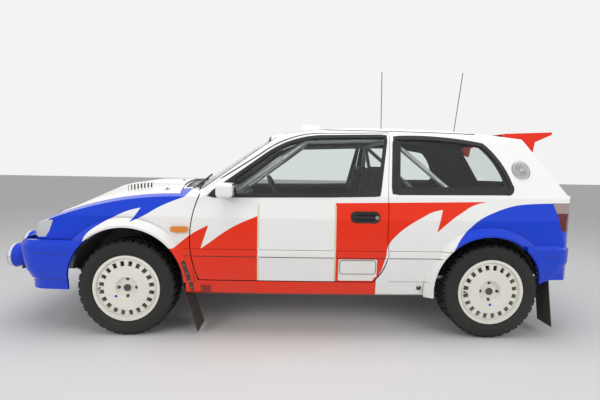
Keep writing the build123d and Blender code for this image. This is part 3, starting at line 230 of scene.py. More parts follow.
class Places:
    """Masks by place in a shader tree: 1 inside and 0 outside."""

    def __init__(self, tree):
        self.tree = tree
        self.x, self.y, self.z = position(tree)

    def ramp_at(self, value, middle, soft=SOFT_EDGE):
        """What lies above a value's edge."""
        return ramp(self.tree, value, middle - soft, middle + soft)

    def band(self, value, low, high, soft=SOFT_EDGE):
        """What lies between two edges."""
        fall = ramp(self.tree, value, high - soft, high + soft, 1.0, 0.0)
        return self.all(self.ramp_at(value, low, soft), fall)

    def across(self, low, high):
        """A band of x."""
        return self.band(self.x, low, high)

    def level(self, low, high):
        """A band of z."""
        return self.band(self.z, low, high)

    def under(self, run):
        """What lies under a colour's edge, which is straight between its points at the ends."""
        x0, x1, z0, z1 = SCHEME
        made = self.tree.nodes.new("ShaderNodeFloatCurve")
        curve = made.mapping.curves[0]
        places = [((x - x0) / (x1 - x0), (z - z0) / (z1 - z0)) for x, z in run]
        while len(curve.points) < len(places):
            curve.points.new(0.5, 0.5)
        for point, place in zip(curve.points, places):
            point.location = place
            point.handle_type = "VECTOR" if place in (places[0], places[-1]) else "AUTO_CLAMPED"
        made.mapping.update()
        along = sums(self.tree, "DIVIDE", sums(self.tree, "SUBTRACT", self.x, x0), x1 - x0)
        self.tree.links.new(along, made.inputs["Value"])
        height = sums(self.tree, "MULTIPLY_ADD", made.outputs[0], z1 - z0, z0)
        return self.ramp_at(sums(self.tree, "SUBTRACT", height, self.z), 0.0)

    def past(self, run):
        """What lies tailwards of a steep edge, given as (x, z) points from the lowest up."""
        (xa, za), (xb, zb) = run[0], run[-1]
        height = sums(self.tree, "SUBTRACT", self.z, za)
        edge = sums(self.tree, "MULTIPLY_ADD", height, (xb - xa) / (zb - za), xa)
        return self.ramp_at(sums(self.tree, "SUBTRACT", self.x, edge), 0.0)

    def all(self, *masks):
        """What lies in every mask."""
        return folded(self.tree, "MULTIPLY", *masks)

    def any(self, *masks):
        """Union of masks."""
        return folded(self.tree, "MAXIMUM", *masks)

    def no(self, mask):
        """What a mask leaves out."""
        return sums(self.tree, "SUBTRACT", 1.0, mask)


def scheme_effect():
    """White sides with the red and blue flashes, by place, the same on both sides."""
    tree, given, out = effect("paint_scheme", {"White": WHITE, "Red": RED, "Blue": BLUE}, "Color")
    at = Places(tree)
    crest = at.all(at.under(RED_CREST), at.across(-0.835, -0.584), at.no(at.past(RED_NOTCH)))
    sweep = at.all(at.under(RED_SWEEP), at.across(-0.634, -0.261))
    low = at.all(at.across(-0.9, 0.526), at.level(0.2, 0.598))
    panel = at.all(at.across(-0.261, 0.248), at.level(0.386, 0.893))
    tail = at.all(at.across(0.2465, 0.96), at.under(RED_TAIL_TOP),
                  at.any(at.no(at.under(RED_TAIL_BACK)), at.across(0.2, 0.526)))
    spike = at.all(at.past(RED_TAIL_PEAK), at.across(0.5, 1.268), at.no(at.under(RED_TAIL_LOW)))
    spike = at.any(spike, at.all(at.across(0.9, 0.98), at.level(0.871, 1.0)))
    spike = at.all(spike, at.under(RED_TAIL_TOP))
    sill = at.all(at.across(-0.9, 0.52), at.level(0.2, 0.386))
    red = at.any(at.all(at.any(crest, sweep, low, tail, spike), at.no(panel)), sill)

    nose = at.all(at.across(-2.2, -1.03), at.no(at.under(BLUE_NOSE)))
    wing = at.all(at.across(-1.1, -0.745), at.no(at.under(BLUE_SWEEP)),
                  at.any(at.past(BLUE_NOTCH), at.level(0.856, 1.2)))
    stern = at.all(at.across(1.024, 2.2), at.under(BLUE_TAIL))
    blue = at.any(nose, wing, at.across(-2.2, -1.399), stern)

    colour = mixed(tree, red, given["White"], given["Red"])
    # A darker red patch low on the sill, just behind the front wheel arch
    dark_patch = at.all(at.band(at.x, -0.639, -0.568, 0.006), at.band(at.z, 0.295, 0.349, 0.006))
    colour = mixed(tree, dark_patch, colour, DARK_RED)
    tree.links.new(mixed(tree, blue, colour, given["Blue"]), out["Color"])
    return tree


scheme = scheme_effect()


# Materials

def start(name):
    """A new material's tree and its shader."""
    made = bpy.data.materials.new(name)
    made.use_nodes = True
    return made, made.node_tree, made.node_tree.nodes["Principled BSDF"]


def settle(shader, **values):
    """Plain values on the shader's sockets, with _ for a space."""
    for key, value in values.items():
        shader.inputs[key.replace("_", " ")].default_value = value


def drive(tree, shader, **sockets):
    """Made values on the shader's sockets, with _ for a space."""
    for key, socket in sockets.items():
        tree.links.new(socket, shader.inputs[key.replace("_", " ")])


def raise_by(tree, shader, height, strength, distance=0.001):
    """A bump from a height."""
    bump = add(tree, "ShaderNodeBump", {"Height": height, "Strength": strength, "Distance": distance})
    drive(tree, shader, Normal=bump.outputs[0])


def tailgate_colour(tree):
    """White above, blue below."""
    return mixed(tree, Places(tree).level(0.2, 0.925), WHITE, BLUE)


# Colour edge on the bonnet, as (x, distance from the middle) of both its ends
BONNET_EDGE = ((-1.86, 0.3), (-1.6, 0.7))


def bonnet_colour(tree):
    """White with blue front corners."""
    at = Places(tree)
    (xa, ya), (xb, yb) = BONNET_EDGE
    share = sums(tree, "DIVIDE", sums(tree, "SUBTRACT", at.x, xa), xb - xa)
    edge = sums(tree, "MULTIPLY_ADD", share, yb - ya, ya)
    mask = at.ramp_at(sums(tree, "SUBTRACT", sums(tree, "ABSOLUTE", at.y), edge), 0.0, 0.001)
    return mixed(tree, mask, WHITE, BLUE)


def car_paint(name, colour, dirt=0.25, chip=0.5, cabin_shaded=False):
    """Gloss paint, in one colour or one that a function makes; where asked, a panel's faces on the cabin's
    side get a dark painted shade.
    """
    made, tree, shader = start(name)
    chipped = use(tree, chips, Color=colour(tree) if callable(colour) else colour, Amount=chip)
    # Painted shade on the faces that look into the cabin
    inside = use(tree, inner_faces)["Mask"] if cabin_shaded else 0.0
    dusty = use(tree, grime, Color=mixed(tree, inside, chipped["Color"], CABIN_SHADE), Amount=dirt)
    rough = folded(tree, "MAXIMUM", dusty["Mask"], chipped["Mask"], inside)
    rough = sums(tree, "MULTIPLY_ADD", rough, 0.35, 0.24)
    drive(tree, shader, Base_Color=dusty["Color"], Roughness=rough)
    settle(shader, Coat_Weight=0.22, Coat_Roughness=0.05, IOR=1.5, Specular_IOR_Level=0.2)
    raise_by(tree, shader, use(tree, flow, Scale=190.0)["Height"], 0.05, 0.0006)
    return made


def plain(name, colour, roughness, metallic=0.0, dirt=0.2, grain=120.0, bump=0.25, spread=0.15):
    """A finish of one colour with its grain and a little dust."""
    made, tree, shader = start(name)
    height = use(tree, flow, Scale=grain)["Height"]
    rough = sums(tree, "MULTIPLY_ADD", height, spread, roughness - spread / 2)
    drive(tree, shader, Base_Color=use(tree, grime, Color=colour, Amount=dirt)["Color"], Roughness=rough)
    settle(shader, Metallic=metallic)
    raise_by(tree, shader, height, bump, 0.0008)
    return made


def clear_glass(name):
    """Window glass."""
    made, tree, shader = start(name)
    settle(shader, Base_Color=(0.86, 0.9, 0.89, 1), Roughness=0.01, IOR=1.08, Transmission_Weight=1.0,
           Coat_Weight=0.5, Coat_Roughness=0.01)
    return made


def ribbed(tree, shader, scale, direction, strength, distance):
    """Moulded ribs in a lens."""
    inputs = {"Vector": object_place(tree), "Scale": scale}
    wave = add(tree, "ShaderNodeTexWave", inputs, bands_direction=direction)
    raise_by(tree, shader, wave.outputs["Fac"], strength, distance)


def lamp_glass(name, colour, ribs, transmission):
    """A lamp's ribbed lens."""
    made, tree, shader = start(name)
    settle(shader, Base_Color=colour, Roughness=0.08, IOR=1.45, Transmission_Weight=transmission,
           Coat_Weight=1.0, Coat_Roughness=0.03)
    ribbed(tree, shader, ribs, "Y", 0.5, 0.0012)
    return made


def tail_lens():
    """Red tail lamp with a clear part above, and body colour below."""
    made, tree, shader = start("tail_lens")
    at = Places(tree)
    colour = mixed(tree, at.level(0.855, 1.0), (0.11, 0.002, 0.003, 1), (0.36, 0.27, 0.26, 1))
    drive(tree, shader, Base_Color=mixed(tree, at.level(0.5, 0.735), colour, BLUE))
    settle(shader, Roughness=0.12, Coat_Weight=0.3, Coat_Roughness=0.02)
    ribbed(tree, shader, 70.0, "Z", 0.4, 0.001)
    return made


def tyre_rubber():
    """Dusty black rubber."""
    made, tree, shader = start("tyre_rubber")
    dusty = use(tree, grime, Color=(0.009, 0.009, 0.0095, 1), Amount=0.22, Low=0.0, High=0.75,
                Tint=(0.075, 0.068, 0.055, 1))
    drive(tree, shader, Base_Color=dusty["Color"],
          Roughness=sums(tree, "MULTIPLY_ADD", dusty["Mask"], 0.3, 0.62))
    raise_by(tree, shader, use(tree, flow, Scale=420.0)["Height"], 0.5, 0.0006)
    return made


side_paint = car_paint("side_paint", lambda tree: use(tree, scheme)["Color"], 0.15, cabin_shaded=True)
bonnet_paint = car_paint("bonnet_paint", bonnet_colour, 0.15, 0.0, cabin_shaded=True)
tailgate_paint = car_paint("tailgate_paint", tailgate_colour, 0.2, 0.0, cabin_shaded=True)
white_paint = car_paint("white_paint", WHITE, 0.15, 0.0, cabin_shaded=True)
blue_paint = car_paint("blue_paint", BLUE, 0.08, 0.2)
red_paint = car_paint("red_paint", RED, 0.1, 0.0)
wheel_paint = car_paint("wheel_paint", CREAM, 0.14, 0.0)
cage_paint = plain("cage_paint", (0.6, 0.61, 0.62, 1), 0.35, 0.3)
window_glass = clear_glass("window_glass")
head_glass = lamp_glass("head_glass", (0.8, 0.83, 0.82, 1), 55.0, 0.35)
drive_glass = lamp_glass("drive_glass", (0.58, 0.61, 0.66, 1), 48.0, 0.3)
amber_lens = lamp_glass("amber_lens", (0.85, 0.26, 0.01, 1), 60.0, 0.15)
chrome = plain("chrome", (0.82, 0.82, 0.84, 1), 0.1, 1.0, 0.1, 60.0, 0.03, 0.06)
black_plastic = plain("black_plastic", BLACK, 0.55, 0.0, 0.3, 260.0)
dash_plastic = plain("dash_plastic", (0.02, 0.02, 0.022, 1), 0.62, 0.0, 0.15, 340.0, 0.5)
black_rubber = plain("black_rubber", RUBBER, 0.65, 0.0, 0.3, 300.0)
black_metal = plain("black_metal", (0.022, 0.022, 0.024, 1), 0.5, 0.2, 0.6, 90.0, 0.4)
cast_metal = plain("cast_metal", (0.11, 0.11, 0.11, 1), 0.62, 0.6, 0.5, 60.0, 0.8)
bare_metal = plain("bare_metal", (0.42, 0.41, 0.4, 1), 0.42, 0.9, 0.5, 80.0, 0.4)
worn_alloy = plain("worn_alloy", (0.5, 0.51, 0.52, 1), 0.45, 0.8, 0.6, 50.0, 0.5)
seat_cloth = plain("seat_cloth", (0.016, 0.017, 0.022, 1), 0.9, 0.0, 0.1, 700.0, 0.9)
rubber_tread = tyre_rubber()
tail_lens_red = tail_lens()

tape = car_paint("cream_tape", (0.72, 0.68, 0.48, 1), 0.15, 0.2)
plate_white = car_paint("plate_white", (0.84, 0.83, 0.8, 1), 0.12, 0.25)
cap_metal = plain("cap_metal", (0.55, 0.55, 0.56, 1), 0.32, 0.8, 0.35, 70.0, 0.3)
pad_cloth = plain("pad_cloth", (0.02, 0.021, 0.028, 1), 0.92, 0.0, 0.1, 900.0, 1.0)
strap_web = plain("strap_web", (0.02, 0.02, 0.023, 1), 0.8, 0.0, 0.2, 1100.0, 0.9)
dial_white = plain("dial_white", (0.75, 0.75, 0.73, 1), 0.5, 0.0, 0.0, 90.0, 0.1)
grey_plastic = plain("grey_plastic", (0.05, 0.05, 0.052, 1), 0.5, 0.0, 0.2, 260.0)
spring_yellow = plain("spring_paint", (0.55, 0.36, 0.02, 1), 0.45, 0.0, 0.5, 120.0, 0.3)
flap_brown = plain("flap_brown", (0.075, 0.03, 0.024, 1), 0.7, 0.0, 0.3, 200.0, 0.3)

# Finish of the frame's nodes, with * for both sides
FINISHES = (
    (side_paint, "body_side_* front_fenders door_*"),
    (bonnet_paint, "bonnet"),
    (tailgate_paint, "tailgate"),
    (white_paint, "roof_panel scuttle roof_vent floor_pan door_mirror_*"),
    (blue_paint, "nose_panel front_bumper rear_bumper driving_lamps"),
    (red_paint, "rear_wing"),
    (wheel_paint, "rim_front_* rim_rear_*"),
    (cage_paint, "roll_cage"),
    (window_glass, "windscreen tailgate_glass quarter_glass door_glass_*"),
    (head_glass, "front_lamps"),
    (tail_lens_red, "tail_lamps"),
    (amber_lens, "side_repeaters"),
    (black_plastic, "grille wipers antennas door_handle_* fuel_tank steering_wheel"),
    (dash_plastic, "dashboard"),
    (black_rubber, "mud_flaps"),
    (black_metal, "wheel_housings front_suspension rear_suspension steering_column"),
    (cast_metal, "engine_block knuckle_*"),
    (bare_metal, "exhaust"),
    (worn_alloy, "radiator skid_plate"),
    (seat_cloth, "seats"),
    (rubber_tread, "tyre_front_* tyre_rear_*"),
)


def dress(obj, material):
    """One material on the whole of an object."""
    obj.data.materials.clear()
    obj.data.materials.append(material)


for material, names in FINISHES:
    for side in ("left", "right"):
        for name in names.replace("*", side).split():
            dress(nodes[name], material)


# Mesh helpers

def placed(name, data):
    """A new object in the scene."""
    made = bpy.data.objects.new(name, data)
    bpy.context.collection.objects.link(made)
    return made


def shaped(name, mesh):
    """A new object from a finished mesh."""
    data = bpy.data.meshes.new(name)
    mesh.to_mesh(data)
    mesh.free()
    return placed(name, data)


def settled(made, body):
    """An object that rides on a body."""
    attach(made, body)
    return made


def publish(name, mesh, material, body="body"):
    """A finished mesh as an object that rides on a body."""
    bmesh.ops.recalc_face_normals(mesh, faces=mesh.faces)
    made = shaped(name, mesh)
    dress(made, material)
    made.data.shade_smooth()
    made.data.set_sharp_from_angle(angle=radians(32))
    return settled(made, body)


BODY = ("body", "body")
DOORS = ("door_left", "door_right")


def pair(name, mesh, material, bodies=BODY):
    """A left-hand mesh and its mirrored match, named after their sides."""
    left = publish(name + "_left", mesh, material, bodies[0])
    data = left.data.copy()
    data.transform(Matrix.Diagonal((1, -1, 1, 1)))
    data.flip_normals()
    data.name = name + "_right"
    settled(placed(data.name, data), bodies[1])


def rounded(mesh, edges, width, segments):
    """Edges rounded off."""
    bmesh.ops.bevel(mesh, geom=edges, offset=width, affect="EDGES", segments=segments, profile=0.5,
                    material=-1)


def box_into(mesh, low, high, width=0.0, segments=1, at=(0, 0, 0)):
    """A box from its corners, about a place, its edges rounded off where a width is given."""
    low, high = Vector(at) + Vector(low), Vector(at) + Vector(high)
    place = Matrix.Translation((low + high) / 2) @ Matrix.Diagonal((*(high - low), 1))
    verts = bmesh.ops.create_cube(mesh, size=1.0, matrix=place)["verts"]
    if width:
        edges = list({edge for vert in verts for edge in vert.link_edges})
        rounded(mesh, edges, width, segments)


def lathe(mesh, rows, place, axis, steps=48):
    """A turned shape: rows of (distance along the axis, radius) from a place."""
    axis, place = Vector(axis).normalized(), Vector(place)
    side = axis.orthogonal().normalized()
    ring = [mesh.verts.new(place + axis * along + side * radius) for along, radius in rows]
    edges = [mesh.edges.new(ends) for ends in zip(ring, ring[1:])]
    made = bmesh.ops.spin(mesh, geom=ring + edges, cent=place, axis=axis, angle=2 * pi, steps=steps,
                          use_merge=True)
    verts = {part for part in made["geom_last"] if isinstance(part, bmesh.types.BMVert)} | set(ring)
    poles = [vert for vert in mesh.verts if (vert.co - place).cross(axis).length < 2e-6]
    bmesh.ops.remove_doubles(mesh, verts=list(verts | set(poles)), dist=1e-5)


def turned(mesh, run, place, axis, steps):
    """A turned shape from its run of distances along the axis and radii, by turns, in mm."""
    rows = [(along / 1000, radius / 1000) for along, radius in zip(run[::2], run[1::2])]
    lathe(mesh, rows, place, axis, steps)


def loft(mesh, rows, ring=False, closed=False, capped=False):
    """Faces between rows of corners, but for those at a None; ring closes each row, closed the whole run."""
    for first, second in zip(rows, rows[1:] + (rows[:1] if closed else [])):
        count = len(first)
        for k in range(count if ring else count - 1):
            corners = (first[k], first[(k + 1) % count], second[(k + 1) % count], second[k])
            if None not in corners:
                mesh.faces.new(corners)
    if capped:
        mesh.faces.new(rows[0])
        mesh.faces.new(rows[-1])


def neighbours(points, n, closed=False):
    """The points before and after one of a line; at an open end the point itself."""
    if closed:
        return points[n - 1], points[(n + 1) % len(points)]
    return points[max(n - 1, 0)], points[min(n + 1, len(points) - 1)]


def tube_into(mesh, points, radius, sides=8, closed=False):
    """A round tube along points, with flat ends unless it is closed."""
    points = [Vector(point) for point in points]
    rings, side = [], None
    for n, point in enumerate(points):
        before, after = neighbours(points, n, closed)
        along = (after - before).normalized()
        side = (side - along * side.dot(along) if side else along.orthogonal()).normalized()
        other = along.cross(side)
        rings.append([mesh.verts.new(point + (side * cos(turn) + other * sin(turn)) * radius)
                      for turn in (2 * pi * k / sides for k in range(sides))])
    loft(mesh, rings, ring=True, closed=closed, capped=not closed)


def round_outline(x0, x1, z0, z1, radius, steps=6):
    """A rounded rectangle as plane points."""
    points = []
    for cx, cz, start in ((x1 - radius, z1 - radius, 0), (x0 + radius, z1 - radius, 90),
                          (x0 + radius, z0 + radius, 180), (x1 - radius, z0 + radius, 270)):
        for k in range(steps + 1):
            turn = radians(start + 90 * k / steps)
            points.append((cx + radius * cos(turn), cz + radius * sin(turn)))
    return points


def arc_points(a, via, b, steps=10):
    """Points on the arc from a through via to b, after a."""
    (ax, ay), (bx, by), (cx, cy) = a, via, b
    d = 2 * (ax * (by - cy) + bx * (cy - ay) + cx * (ay - by))
    sizes = [x * x + y * y for x, y in (a, via, b)]
    ux = (sizes[0] * (by - cy) + sizes[1] * (cy - ay) + sizes[2] * (ay - by)) / d
    uy = (sizes[0] * (cx - bx) + sizes[1] * (ax - cx) + sizes[2] * (bx - ax)) / d
    start, middle, end = (atan2(y - uy, x - ux) for x, y in (a, via, b))
    sweep = (end - start) % (2 * pi)
    if (middle - start) % (2 * pi) > sweep:
        sweep -= 2 * pi
    radius = hypot(ax - ux, ay - uy)
    return [(ux + radius * cos(start + sweep * k / steps), uy + radius * sin(start + sweep * k / steps))
            for k in range(1, steps + 1)]


def even(points, step):
    """Plane points along a line at an even step."""
    out = [points[0]]
    for (ua, va), (ub, vb) in zip(points, points[1:]):
        count = max(1, round(hypot(ub - ua, vb - va) / step))
        out += [(ua + (ub - ua) * k / count, va + (vb - va) * k / count) for k in range(1, count + 1)]
    return out


# Looks along which pieces are laid on the frame: origin, two drawing directions and the look itself
SIDE = (Y * -1.5, X, Z, Y)
BESIDE = (Y * 1.5, X, Z, -Y)
ABOVE = (Z * 1.9, X, Y, -Z)
BENEATH = (Z * -0.5, X, Y, Z)
AHEAD = (X * -2.5, Y, Z, X)
ASTERN = (X * 2.5, Y, Z, -X)


def raked_look(point, rake, facing):
    """Looking square at a raked glass: drawn along its slope from a point, and across."""
    along = Vector((cos(radians(rake)), 0, -facing * sin(radians(rake))))
    out = Vector((facing * sin(radians(rake)), 0, cos(radians(rake))))
    return Vector((point[0], 0, point[1])) + out * 0.3, along, Y, -out


def cast(look, names, u, v):
    """Where a look first meets some nodes, or None."""
    origin, across, up, onward = look
    start = origin + across * u + up * v
    best, reach = None, 9.0
    for name in names:
        found, place, _, _ = nodes[name].ray_cast(start, onward)
        if found and (place - start).length < reach:
            best, reach = place, (place - start).length
    return best


def corner(mesh, look, names, u, v, lift):
    """A mesh's corner over some nodes, or None."""
    hit = cast(look, names, u, v)
    return None if hit is None else mesh.verts.new(hit - look[3] * lift)


# Where a band's left chamfer ends and its right one begins, as shares of its width; the right side of a level
# band is found from its own share
LEFT_CHAMFER = 0.16
RIGHT_CHAMFER = 0.84
LEVEL_SHARE = 0.6


def laid_band(mesh, look, names, line, width, height, step=0.03, sink=0.0015, closed=False, inside=0.5,
              level=False):
    """A raised band on some nodes along plane points, with chamfered edges; inside is its share to the right.

    A level band keeps on at the height of its left side, over a glass that lies deeper on its right."""
    line = even(line + (line[:1] if closed else []), step)
    line = line[:-1] if closed else line
    rows = []
    for n, (u, v) in enumerate(line):
        (ua, va), (ub, vb) = neighbours(line, n, closed)
        size = hypot(ub - ua, vb - va)
        places = []
        for share in (0.0, LEFT_CHAMFER, LEVEL_SHARE if level else RIGHT_CHAMFER, 1.0):
            off = width * (share - inside) / size
            places.append(cast(look, names, u - (vb - va) * off, v + (ub - ua) * off))
        if None in places:
            rows.append([None] * 4)
            continue
        if level:
            slope = (places[2] - places[3]) / (1 - LEVEL_SHARE)
            places[1:3] = [places[3] + slope * (1 - share) for share in (0.05, RIGHT_CHAMFER)]
        rows.append([mesh.verts.new(place - look[3] * lift)
                     for place, lift in zip(places, (-sink, height, height, -sink))])
    loft(mesh, rows, closed=closed)


def border(mesh, look, names, outer, inner, lift, steps=6):
    """A thin ring on some nodes between two loops of as many plane points, a little inside the outer one."""
    rings = []
    for share in (0.15, 1.0):
        loop = [(ua + (ub - ua) * share, va + (vb - va) * share) for (ua, va), (ub, vb) in zip(outer, inner)]
        rings.append([corner(mesh, look, names, ua + (ub - ua) * k / steps, va + (vb - va) * k / steps, lift)
                      for (ua, va), (ub, vb) in zip(loop, loop[1:] + loop[:1]) for k in range(steps)])
    loft(mesh, rings, ring=True)


def laid_sheet(mesh, look, names, outline, lift, step=0.03, rows=8):
    """A thin sheet on some nodes within a convex outline of plane points."""
    low, high = min(u for u, _ in outline) + 1e-4, max(u for u, _ in outline) - 1e-4
    count = max(2, round((high - low) / step))
    columns = []
    for n in range(count + 1):
        u = low + (high - low) * n / count
        cuts = [va + (vb - va) * (u - ua) / (ub - ua)
                for (ua, va), (ub, vb) in zip(outline, outline[1:] + outline[:1])
                if min(ua, ub) <= u <= max(ua, ub) and abs(ub - ua) > 1e-9]
        foot, rise = min(cuts), max(cuts) - min(cuts)
        columns.append([corner(mesh, look, names, u, foot + rise * k / rows, lift) for k in range(rows + 1)])
    loft(mesh, columns)


def fastener(mesh, place, out, radius=0.006, height=0.004):
    """A domed round head with a hexagon recess."""
    out = Vector(out).normalized()
    lathe(mesh, ((-0.001, radius), (height * 0.45, radius), (height, radius * 0.72)), place, out, 12)
    lathe(mesh, ((height, radius * 0.72), (height, radius * 0.42), (height * 0.3, radius * 0.42),
                 (height * 0.3, 0.0)), place, out, 6)


def fasteners(mesh, look, names, places, radius, height, lift=0.0):
    """Fasteners on some nodes at plane points, facing the look."""
    for u, v in places:
        hit = cast(look, names, u, v)
        if hit is not None:
            fastener(mesh, hit - look[3] * lift, -look[3], radius, height)


# Rubbers and trim

def window_loop(rows):
    """A window's outline in metres from rows of (mm behind the front axle, height), then an arc's middle."""
    rows = [[(FRONT_AXLE_X + x / 1000, z / 1000) for x, z in zip(row[::2], row[1::2])] for row in rows]
    points = rows[0][:1]
    for row in rows[1:] + rows[:1]:
        points += arc_points(points[-1], row[1], row[0]) if len(row) == 2 else row
    return points[:-1]


DOOR_WINDOW = ((540, 944), (912, 1219), (1278, 1348, 1065, 1302), (1733, 1362), (1658, 966), (1340, 957))
QUARTER_WINDOW = ((1766, 984), (1800, 1349), (2412, 1308, 2130, 1346), (2566, 1040, 2508, 1190),
                  (2528, 992, 2566, 1003))
QUARTER_CLEAR = ((1808, 1017), (1838, 1331), (2385, 1292, 2130, 1327), (2521, 1060, 2470, 1190),
                 (2490, 1025, 2518, 1033))
# Looks at the raked glasses, and openings: both ends along the slope, half-widths there, bow of the ends
SCREEN_LOOK = raked_look((FRONT_AXLE_X + 0.317, 0.977), 34.3, -1)
SCREEN = (0.072, 0.705, 0.612, 0.526, 0.016)
HATCH_LOOK = raked_look((REAR_AXLE_X + 0.389, 1.272), 54.4, 1)
HATCH = (-0.128, 0.292, 0.52, 0.575, 0.012)


def raked_loop(near, far, near_half, far_half, bow):
    """A raked glass's outline along its slope and across."""
    line = [(near + bow, -near_half)]
    line += arc_points(line[0], (near, 0), (near + bow, near_half))
    line.append((far - bow, far_half))
    return line + arc_points(line[-1], (far, 0), (far - bow, -far_half))


# How the bands of a window, a raked glass and a fine line are laid
WINDOW = {"closed": True, "inside": 0.35, "level": True}
RAKED = {"closed": True, "inside": 0.4}
FINE = {"step": 0.015}
# Raised bands: piece, look, nodes, material, body or bodies of a pair, height, way of laying, then the width
# and the points of each band
BANDS = (
    ("door_rubber", SIDE, "door_glass_left door_left", black_rubber, DOORS, 0.003, WINDOW,
     (0.026, window_loop(DOOR_WINDOW))),
    ("quarter_rubber", SIDE, "quarter_glass body_side_left", black_rubber, BODY, 0.003, WINDOW,
     (0.034, window_loop(QUARTER_WINDOW))),
    ("screen_rubber", SCREEN_LOOK, "windscreen body_side_left body_side_right scuttle roof_panel",
     black_rubber, "body", 0.003, RAKED, (0.028, raked_loop(*SCREEN))),
    ("hatch_rubber", HATCH_LOOK, "tailgate_glass tailgate", black_rubber, "tailgate", 0.003, RAKED,
     (0.028, raked_loop(*HATCH))),
    ("moulding_lines_front_fenders", SIDE, "front_fenders", black_rubber, BODY, 0.0009, FINE,
     (0.006, [(-0.741, 0.5455), (-0.722, 0.5455)]), (0.003, [(-0.741, 0.594), (-0.722, 0.594)])),
    ("moulding_lines_door", SIDE, "door_left", black_rubber, DOORS, 0.0009, FINE,
     (0.006, [(-0.703, 0.5455), (0.584, 0.5455)]), (0.003, [(-0.703, 0.594), (0.584, 0.594)])),
    ("moulding_lines_body_side", SIDE, "body_side_left", black_rubber, BODY, 0.0009, FINE,
     (0.006, [(0.606, 0.5455), (0.985, 0.5455)]), (0.003, [(0.606, 0.594), (1.02, 0.594)])),
    ("panel_tape", SIDE, "door_left", tape, DOORS, 0.0006, {},
     (0.016, [(-0.2585, 0.39), (-0.2585, 0.892)]), (0.016, [(0.2465, 0.39), (0.2465, 0.892)])),
    ("plate_border", SIDE, "door_left", black_rubber, DOORS, 0.0021,
     {"step": 0.02, "sink": -0.0012, "closed": True},
     (0.0045, round_outline(0.279, 0.519, 0.438, 0.531, 0.02))),
    ("gutter", ABOVE, "roof_panel body_side_left", black_rubber, BODY, 0.0016, {"step": 0.05},
     (0.01, [(-0.36, -0.548), (1.26, -0.548)])),
    ("flap_hanger", SIDE, "front_fenders body_side_left", flap_brown, BODY, 0.004, {"step": 0.02},
     (0.026, [(-0.748, 0.515), (-0.712, 0.408), (-0.694, 0.306)])),
    # Painted shadow lines: dark bands in the front bumper's crease and along its lip step
    ("bumper_crease", SIDE, "front_bumper", black_rubber, BODY, 0.0007, {},
     (0.004, [(-1.88, 0.557), (-1.425, 0.543)])),
    ("bumper_lip", SIDE, "front_bumper", black_rubber, BODY, 0.0007, {},
     (0.003, [(-1.88, 0.386), (-1.47, 0.36)])),
    # Painted shadow line in the rear bumper's crease
    ("rear_bumper_crease", SIDE, "rear_bumper", black_rubber, BODY, 0.0007, {},
     (0.004, [(1.64, 0.56), (1.935, 0.56)])),
    ("sill_step", SIDE, "body_side_left", black_rubber, BODY, 0.0007, {},
     (0.003, [(0.61, 0.386), (0.905, 0.386)])),
    ("tailgate_grip", ASTERN, "tailgate", black_plastic, "tailgate", 0.009, {"step": 0.02},
     (0.034, [(-0.11, 0.74), (0.11, 0.74)])),
    ("fuel_flap_line", BESIDE, "body_side_right", black_rubber, "body", 0.0006,
     {"step": 0.012, "closed": True}, (0.0028, round_outline(1.384, 1.496, 0.806, 0.918, 0.022))),
)


def bands():
    """Rubbers, tape, gutters, painted crease shadows and other raised bands."""
    for name, look, names, material, bodies, height, laying, *lines in BANDS:
        mesh = bmesh.new()
        for width, line in lines:
            laid_band(mesh, look, names.split(), line, width, height, **laying)
        if isinstance(bodies, str):
            publish(name, mesh, material, bodies)
        else:
            pair(name, mesh, material, bodies)


def quarter_borders():
    """Black border printed round each rear side glass."""
    mesh = bmesh.new()
    border(mesh, SIDE, ("quarter_glass",), window_loop(QUARTER_WINDOW), window_loop(QUARTER_CLEAR), 0.0012)
    pair("quarter_border", mesh, black_rubber)


def door_fittings():
    """A blank plate and a lock in each door."""
    mesh = bmesh.new()
    plate = round_outline(0.271, 0.527, 0.392, 0.538, 0.004)
    laid_sheet(mesh, SIDE, ("door_left",), plate, 0.0012, step=0.008, rows=12)
    pair("blank_plate", mesh, plate_white, DOORS)
    hit = cast(SIDE, ("door_handle_left", "door_left"), 0.519, 0.815)
    mesh = bmesh.new()
    turned(mesh, (-2, 12.5, 2.5, 12.5, 3.5, 11.5, 3.5, 7.5, 2.2, 7, 2.2, 0), hit, -Y, 28)
    box_into(mesh, (-0.0008, -0.0026, -0.0045), (0.0008, -0.0018, 0.0045), at=hit)
    pair("door_lock", mesh, bare_metal, DOORS)


def mirror_details():
    """Dark triangle behind each mirror, and the mirror's glass."""
    mesh = bmesh.new()
    triangle = [(-0.58, 0.937), (-0.414, 0.937), (-0.413, 1.072)]
    laid_sheet(mesh, SIDE, ("door_left", "door_glass_left"), triangle, 0.006, step=0.012, rows=4)
    bmesh.ops.solidify(mesh, geom=mesh.faces, thickness=0.005)
    pair("mirror_sail", mesh, grey_plastic, DOORS)
    low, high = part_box("door_mirror_left")
    mesh = bmesh.new()
    outline = round_outline(low[1] + 0.016, high[1] - 0.024, low[2] + 0.013, high[2] - 0.013, 0.02)
    rings = [[mesh.verts.new((high[0] + out, y, z)) for y, z in outline] for out in (-0.004, 0.0018)]
    mesh.faces.new(rings[1])
    loft(mesh, rings, ring=True)
    pair("mirror_glass", mesh, chrome, DOORS)


PILLAR_CAP = (1.537, 1.14)
CAP_RIBS = 12


